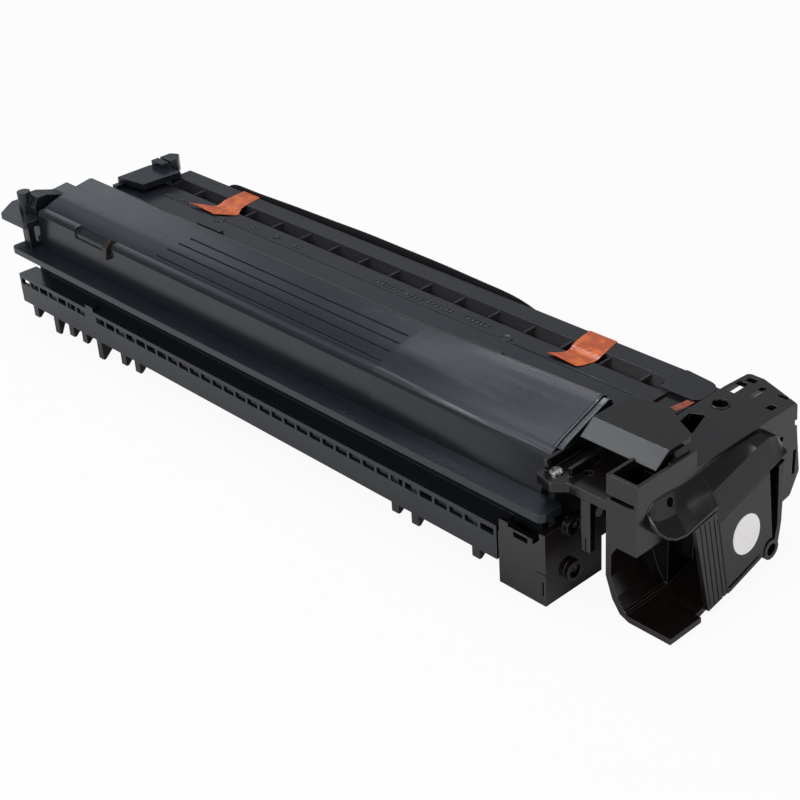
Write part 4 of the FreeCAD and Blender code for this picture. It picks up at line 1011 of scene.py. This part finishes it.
@dataclass
class LedgeMarks(Assembly):
    """Raised plain bars, rings and a seam on the ledge."""

    ledge: float = 60.0
    sunk: float = 0.2
    height: float = 0.35
    bar_long: float = 3.2
    bar_wide: float = 1.1
    bar_slope: float = 0.22
    bar_pitch: float = 2.9
    lean: float = 28.0
    rows: Tuple[Tuple[float, float, int], ...] = (
        (-168.0, 17.0, 3), (-155.6, 18.1, 3), (-97.0, 19.6, 2), (-62.6, 19.4, 2), (-2.4, 19.2, 7),
        (20.6, 19.4, 4), (34.6, 19.8, 6), (57.4, 20.2, 6))
    rings: Tuple[Place, ...] = ((-119.4, 14.6, 3.4), (-78.3, 20.3, 2.0), (86.1, 17.2, 3.4))
    ring_wide: float = 0.7
    seam: Tuple[Spot, Spot] = ((92.0, 15.6), (160.0, 16.3))
    seam_high: float = 0.3

    def build_bar(self, x: float, y: float) -> Piece:
        """One leaning bar with a smaller top.

        Args:
            x: Its place along the cartridge.
            y: Its place across the cartridge.

        Returns:
            The bar.
        """
        half_wide, half_long = self.bar_wide / 2, self.bar_long / 2
        bar = self.bench.block((x - half_wide, y - half_long, self.ledge - self.sunk),
                               (x + half_wide, y + half_long, self.ledge + self.height * 0.6))
        self.bench.inset(bar, upper, self.bar_slope, self.height * 0.4)
        self.bench.turn(bar, self.lean, (x, y, self.ledge))
        return bar

    def build_ring(self, x: float, y: float, radius: float) -> Piece:
        """One flat ring with a sunk middle.

        Args:
            x: Its place along the cartridge.
            y: Its place across the cartridge.
            radius: Its outer radius.

        Returns:
            The ring.
        """
        ring = self.bench.rod((x, y, self.ledge - self.sunk), (x, y, self.ledge + self.height),
                              radius, 40)
        self.bench.inset(ring, upper, self.ring_wide)
        self.bench.extrude(ring, lambda middle, normal: upper(middle, normal)
                           and math.hypot(middle.x - x, middle.y - y) < 0.1,
                           (0, 0, -self.height * 0.8))
        self.bench.bevel(ring, 0.08)
        return ring

    def build(self) -> None:
        """Build all the marks as one moulded piece."""
        marks = []
        for start, y, count in self.rows:
            marks += [self.build_bar(start + k * self.bar_pitch, y) for k in range(count)]
        marks += [self.build_ring(*ring) for ring in self.rings]
        low, high = self.seam
        seam = self.bench.block((*low, self.ledge - self.sunk),
                                (*high, self.ledge + self.seam_high))
        self.bench.bevel(seam, 0.2)
        self.bench.deliver(self.bench.join(marks + [seam]), "ledge_marks", Stock.HOUSING)


@dataclass
class CoverLip(Assembly):
    """The rolled lip and the return flange at the cover's near end."""

    lip: float = 1.5
    wider: float = 1.006
    taller: float = 1.012
    lip_round: float = 0.35
    reach: float = 3.0
    shrink: float = 0.965
    flange_round: float = 0.8
    floor: float = 61.6

    def build(self) -> None:
        """Build both from the cover's own end section."""
        bench = self.bench
        low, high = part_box("developer_cover")
        end = high[0] / MM
        middle = ((low[1] + high[1]) / 2 / MM, low[2] / MM)
        lip = bench.copy_node("developer_cover")
        bench.slice(lip, (end - self.lip, 0, 0), (-1, 0, 0))
        bench.slice(lip, (0, 0, self.floor), (0, 0, -1))
        flange = bpy.data.objects.new("flange", lip.data.copy())
        bpy.context.scene.collection.objects.link(flange)
        bench.resize(lip, (1, self.wider, self.taller), (end, *middle))
        bench.bevel(lip, self.lip_round, 3)
        bench.resize(flange, (1, self.shrink, self.shrink), (end, middle[0], self.floor))
        bench.extrude(flange, lambda place, normal: normal.x > 0.9 and place.x > end - 0.1,
                      (self.reach, 0, 0))
        bench.bevel(flange, self.flange_round, 4)
        bench.deliver(lip, "cover_end_lip", Stock.HOUSING)
        bench.deliver(flange, "cover_end_flange", Stock.HOUSING)


@dataclass
class LowerBracketDetail(Assembly):
    """The lower bracket with its raised step, window and slits."""

    wall: float = 2.5
    step_in: float = 0.6
    step_low: float = 24.0
    step_high: float = 29.9
    step_end: float = 170.8
    tab_high: float = 31.6
    tab_long: float = 5.5
    window_low: Spot = (160.2, 26.3)
    window_high: Spot = (168.2, 29.0)
    side_slit: Spot = (14.85, 15.55)
    side_long: float = 8.0
    foot_slit: Spot = (175.6, 176.6)
    foot_run: Spot = (4.6, 11.8)
    depth: float = 1.2

    def build(self) -> None:
        """Raise and cut a copy of the bracket and let it stand for the node."""
        bench = self.bench
        low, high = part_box("near_lower_bracket")
        start, front, right = low[0] / MM + self.step_in, low[1] / MM, high[0] / MM
        back, before, cut = front + self.wall, front - CLEAR, front + self.depth
        bracket = bench.copy_node("near_lower_bracket")
        bench.fuse(bracket, bench.block((start, front, self.step_low),
                                        (self.step_end, back, self.step_high)))
        bench.fuse(bracket, bench.block((start, front, self.step_low),
                                        (low[0] / MM + self.tab_long, back, self.tab_high)))
        (x0, z0), (x1, z1) = self.window_low, self.window_high
        bench.carve(bracket, bench.block((x0, before, z0), (x1, back + CLEAR, z1)))
        bench.carve(bracket, bench.block((right - self.side_long, before, self.side_slit[0]),
                                         (right + CLEAR, cut, self.side_slit[1])))
        bench.carve(bracket, bench.block((self.foot_slit[0], before, self.foot_run[0]),
                                         (self.foot_slit[1], cut, self.foot_run[1])))
        bench.deliver(bracket, "lower_bracket_slotted", Stock.HANDLE, FLAT)
        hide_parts("near_lower_bracket")


@dataclass
class PostPin(Assembly):
    """The upper bracket's post, whose end is a split pin."""

    post: float = 186.8
    shoulder: float = 1.1
    pin_high: float = 35.0
    slit: Spot = (189.5, 190.1)
    slit_high: float = 34.2

    def build(self) -> None:
        """Cut the pin into a copy of the bracket and let it stand for the node."""
        bench = self.bench
        low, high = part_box("near_top_bracket")
        front, back, foot = low[1] / MM - CLEAR, high[1] / MM + CLEAR, low[2] / MM - CLEAR
        bracket = bench.copy_node("near_top_bracket")
        bench.carve(bracket, bench.block((self.post - CLEAR, front, foot),
                                         (self.post + self.shoulder, back, self.pin_high)))
        bench.carve(bracket, bench.block((self.slit[0], front, foot),
                                         (self.slit[1], back, self.slit_high)))
        bench.deliver(bracket, "top_bracket_split_pin", Stock.HANDLE, SLIGHT)
        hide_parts("near_top_bracket")


@dataclass
class CapFittings(Assembly):
    """The rim round the round hole of the near end cap."""

    hole: Spot = (193.0, 31.9)
    radius: float = 3.4
    wide: float = 0.9
    height: float = 0.45
    sunk: float = 0.3

    def build(self) -> None:
        """Build the rim."""
        bench = self.bench
        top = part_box("cleaner_housing")[1][2] / MM
        rim = bench.rod((*self.hole, top - self.sunk), (*self.hole, top + self.height),
                        self.radius + self.wide, 48)
        bench.carve(rim, bench.rod((*self.hole, top - CLEAR), (*self.hole, top + 2 * CLEAR),
                                   self.radius, 48))
        bench.bevel(rim, 0.2)
        bench.deliver(rim, "cap_hole_rims", Stock.HANDLE)


@dataclass
class GearCoverDetail(Assembly):
    """The collar, rib frame and screws on the outside of the gear cover."""

    axis: Spot = (27.9, 27.0)
    bore: float = 5.2
    collar: float = 8.2
    proud: float = 1.3
    sunk: float = 0.3
    frame_low: Spot = (-39.0, 8.5)
    frame_high: Spot = (12.0, 47.5)
    rib: float = 1.5
    panes: int = 3
    screws: Tuple[Spot, ...] = ((-40.9, 51.6), (42.6, 51.2), (42.2, 6.0))
    screw: float = 2.5

    def build_screw(self, face: float, y: float, z: float) -> Piece:
        """One cross-recess screw head.

        Args:
            face: The cover's outer face.
            y: Its place across the cartridge.
            z: Its height.

        Returns:
            The head.
        """
        bench = self.bench
        head = bench.rod((face - self.proud, y, z), (face + self.sunk, y, z), self.screw)
        half, thin = self.screw * 0.7, self.screw * 0.14
        for wide, high in ((half, thin), (thin, half)):
            bench.carve(head, bench.block((face - 2 * CLEAR, y - wide, z - high),
                                          (face - self.proud / 2, y + wide, z + high)))
        bench.bevel(head, 0.2)
        return head

    def build(self) -> None:
        """Build the collar with the ribs, and the screws."""
        bench = self.bench
        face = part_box("gear_cover")[0][0] / MM
        out, back = face - self.proud, face + self.sunk
        before, behind = out - CLEAR, back + CLEAR
        collar = bench.rod((out, *self.axis), (back, *self.axis), self.collar, 56)
        bench.carve(collar, bench.rod((before, *self.axis), (behind, *self.axis), self.bore, 56))
        (y0, z0), (y1, z1) = self.frame_low, self.frame_high
        ribs = bench.block((out, y0, z0), (back, y1, z1))
        pitch = (z1 - z0 - self.rib) / self.panes
        for k in range(self.panes):
            low = z0 + self.rib + k * pitch
            bench.carve(ribs, bench.block((before, y0 + self.rib, low),
                                          (behind, y1 - self.rib, low + pitch - self.rib)))
        bench.bevel(collar, 0.3)
        bench.bevel(ribs, 0.25)
        bench.deliver(bench.join([collar, ribs]), "gear_cover_ribs", Stock.HOUSING)
        heads = [self.build_screw(face, *place) for place in self.screws]
        bench.deliver(bench.join(heads), "gear_cover_screws", Stock.STEEL)


@dataclass(frozen=True)
class Lamp:
    """One soft lamp: its place, its width and height, and its power in watts."""

    name: str
    place: Place
    wide: float
    high: float
    power: float
    colour: Colour

    def hang(self, aim: Vector) -> None:
        """Hang the lamp so that it faces a place.

        Args:
            aim: The place.
        """
        lamp = bpy.data.lights.new(self.name, "AREA")
        lamp.color, lamp.shape = self.colour, "RECTANGLE"
        lamp.size, lamp.size_y, lamp.energy = self.wide, self.high, self.power
        holder = bpy.data.objects.new(self.name, lamp)
        bpy.context.scene.collection.objects.link(holder)
        holder.location = self.place
        holder.rotation_euler = (aim - Vector(self.place)).to_track_quat("-Z", "Y").to_euler()


@dataclass
class Studio:
    """Floor, soft lamps, white surroundings and the camera."""

    floor_size: float = 6.0
    floor_drop: float = 0.0002
    floor_dark: Colour = (0.66, 0.66, 0.66)
    floor_pale: Colour = (0.70, 0.70, 0.70)
    floor_glow: float = 0.93
    room: Colour = (0.92, 0.95, 1.0)
    room_strength: float = 0.21
    eye: Place = (0.54092, -0.44562, 0.40952)
    azimuth: float = 48.824
    elevation: float = 30.261
    roll: float = -3.981
    lens: float = 74.215
    sensor: float = 36.0
    clip: Spot = (0.01, 20.0)
    aim: Place = (0.0, 0.0, 0.03)
    lamps: Tuple[Lamp, ...] = (
        Lamp("lamp_back", (-1.25, 0.95, 0.95), 1.8, 0.9, 1.1, COOL),
        Lamp("lamp_patch", (-0.55, 0.44, 1.16), 0.14, 0.36, 2.3, COOL),
        Lamp("lamp_far", (-1.33, 0.40, 0.80), 0.35, 0.35, 0.4, COOL),
        Lamp("lamp_side", (-0.65, -0.56, 1.22), 0.55, 0.4, 2.3, COOL),
        Lamp("lamp_top", (-0.10, 0.10, 1.35), 1.0, 0.7, 8.0, COOL),
        Lamp("lamp_front", (0.15, -1.35, 0.80), 1.2, 0.6, 15.0, WARM),
        Lamp("lamp_right", (1.40, 0.10, 0.50), 0.5, 0.7, 5.2, WARM),
    )

    def build_floor(self) -> None:
        """Lay the pale floor, which keeps the object's shadow."""
        bpy.ops.object.select_all(action="DESELECT")
        bpy.ops.mesh.primitive_plane_add(size=self.floor_size, location=(0, 0, -self.floor_drop))
        floor = bpy.context.object
        floor.name = "floor"
        paint = Paint("pale_floor")
        path = paint.add("ShaderNodeLightPath", output="Is Camera Ray")
        glow = paint.add("ShaderNodeEmission", {}, {"Color": (1.0, 1.0, 1.0), "Strength": 1.0})
        shade = Wire(paint, paint.shader.outputs[0])
        tone = paint.noise(3.0, 2.0, 0.5)
        paint.finish(Base_Color=paint.mix(tone, self.floor_dark, self.floor_pale),
                     Roughness=0.7 + tone * 0.1)
        both = paint.add("ShaderNodeMixShader", {}, {0: path * self.floor_glow, 1: shade, 2: glow})
        paint.tree.links.new(both.socket, paint.output.inputs[0])
        floor.data.materials.append(paint.material)

    def build_lamps(self) -> None:
        """Hang the soft lamps, each facing the object."""
        for lamp in self.lamps:
            lamp.hang(Vector(self.aim))

    def build_world(self) -> None:
        """Surround the object with even pale light and a white backdrop."""
        world = bpy.data.worlds.new("pale_room")
        bpy.context.scene.world = world
        world.use_nodes = True
        nodes, links = world.node_tree.nodes, world.node_tree.links
        nodes.clear()
        path = nodes.new("ShaderNodeLightPath")
        lit = nodes.new("ShaderNodeBackground")
        lit.inputs["Color"].default_value = (*self.room, 1.0)
        lit.inputs["Strength"].default_value = self.room_strength
        seen = nodes.new("ShaderNodeBackground")
        seen.inputs["Color"].default_value = (1.0, 1.0, 1.0, 1.0)
        both = nodes.new("ShaderNodeMixShader")
        out = nodes.new("ShaderNodeOutputWorld")
        links.new(path.outputs["Is Camera Ray"], both.inputs[0])
        links.new(lit.outputs[0], both.inputs[1])
        links.new(seen.outputs[0], both.inputs[2])
        links.new(both.outputs[0], out.inputs[0])

    def build_camera(self) -> None:
        """Set the camera at the photograph's place and angle."""
        camera = bpy.data.cameras.new("eye")
        camera.sensor_width = self.sensor
        camera.lens = self.lens
        camera.clip_start, camera.clip_end = self.clip
        holder = bpy.data.objects.new("eye", camera)
        bpy.context.scene.collection.objects.link(holder)
        a, e = math.radians(self.azimuth), math.radians(self.elevation)
        back = Vector((math.sin(a) * math.cos(e), -math.cos(a) * math.cos(e), math.sin(e)))
        right = Vector((math.cos(a), math.sin(a), 0.0))
        upward = back.cross(right)
        turn = Matrix((right, upward, back)).transposed().to_4x4()
        turn = turn @ Matrix.Rotation(math.radians(self.roll), 4, "Z")
        holder.matrix_world = Matrix.Translation(self.eye) @ turn
        bpy.context.scene.camera = holder

    def build(self) -> None:
        """Build the whole studio."""
        scene = bpy.context.scene
        scene.view_settings.view_transform = "Standard"
        self.build_camera()
        self.build_floor()
        self.build_lamps()
        self.build_world()


def main() -> None:
    """Dress the cartridge and light it."""
    logging.basicConfig(level=logging.INFO, format="%(message)s")
    Studio().build()
    wardrobe = Wardrobe()
    wardrobe.dress_nodes()
    bench = Bench(wardrobe)
    for kind in (DeckTrough, ShippingTapes, ProtectiveFilm, LedgeMarks, CoverLip,
                 LowerBracketDetail, PostPin, CapFittings, GearCoverDetail):
        LOG.info("building %s", kind.__name__)
        kind(bench).build()


if __name__ == "__main__":
    main()
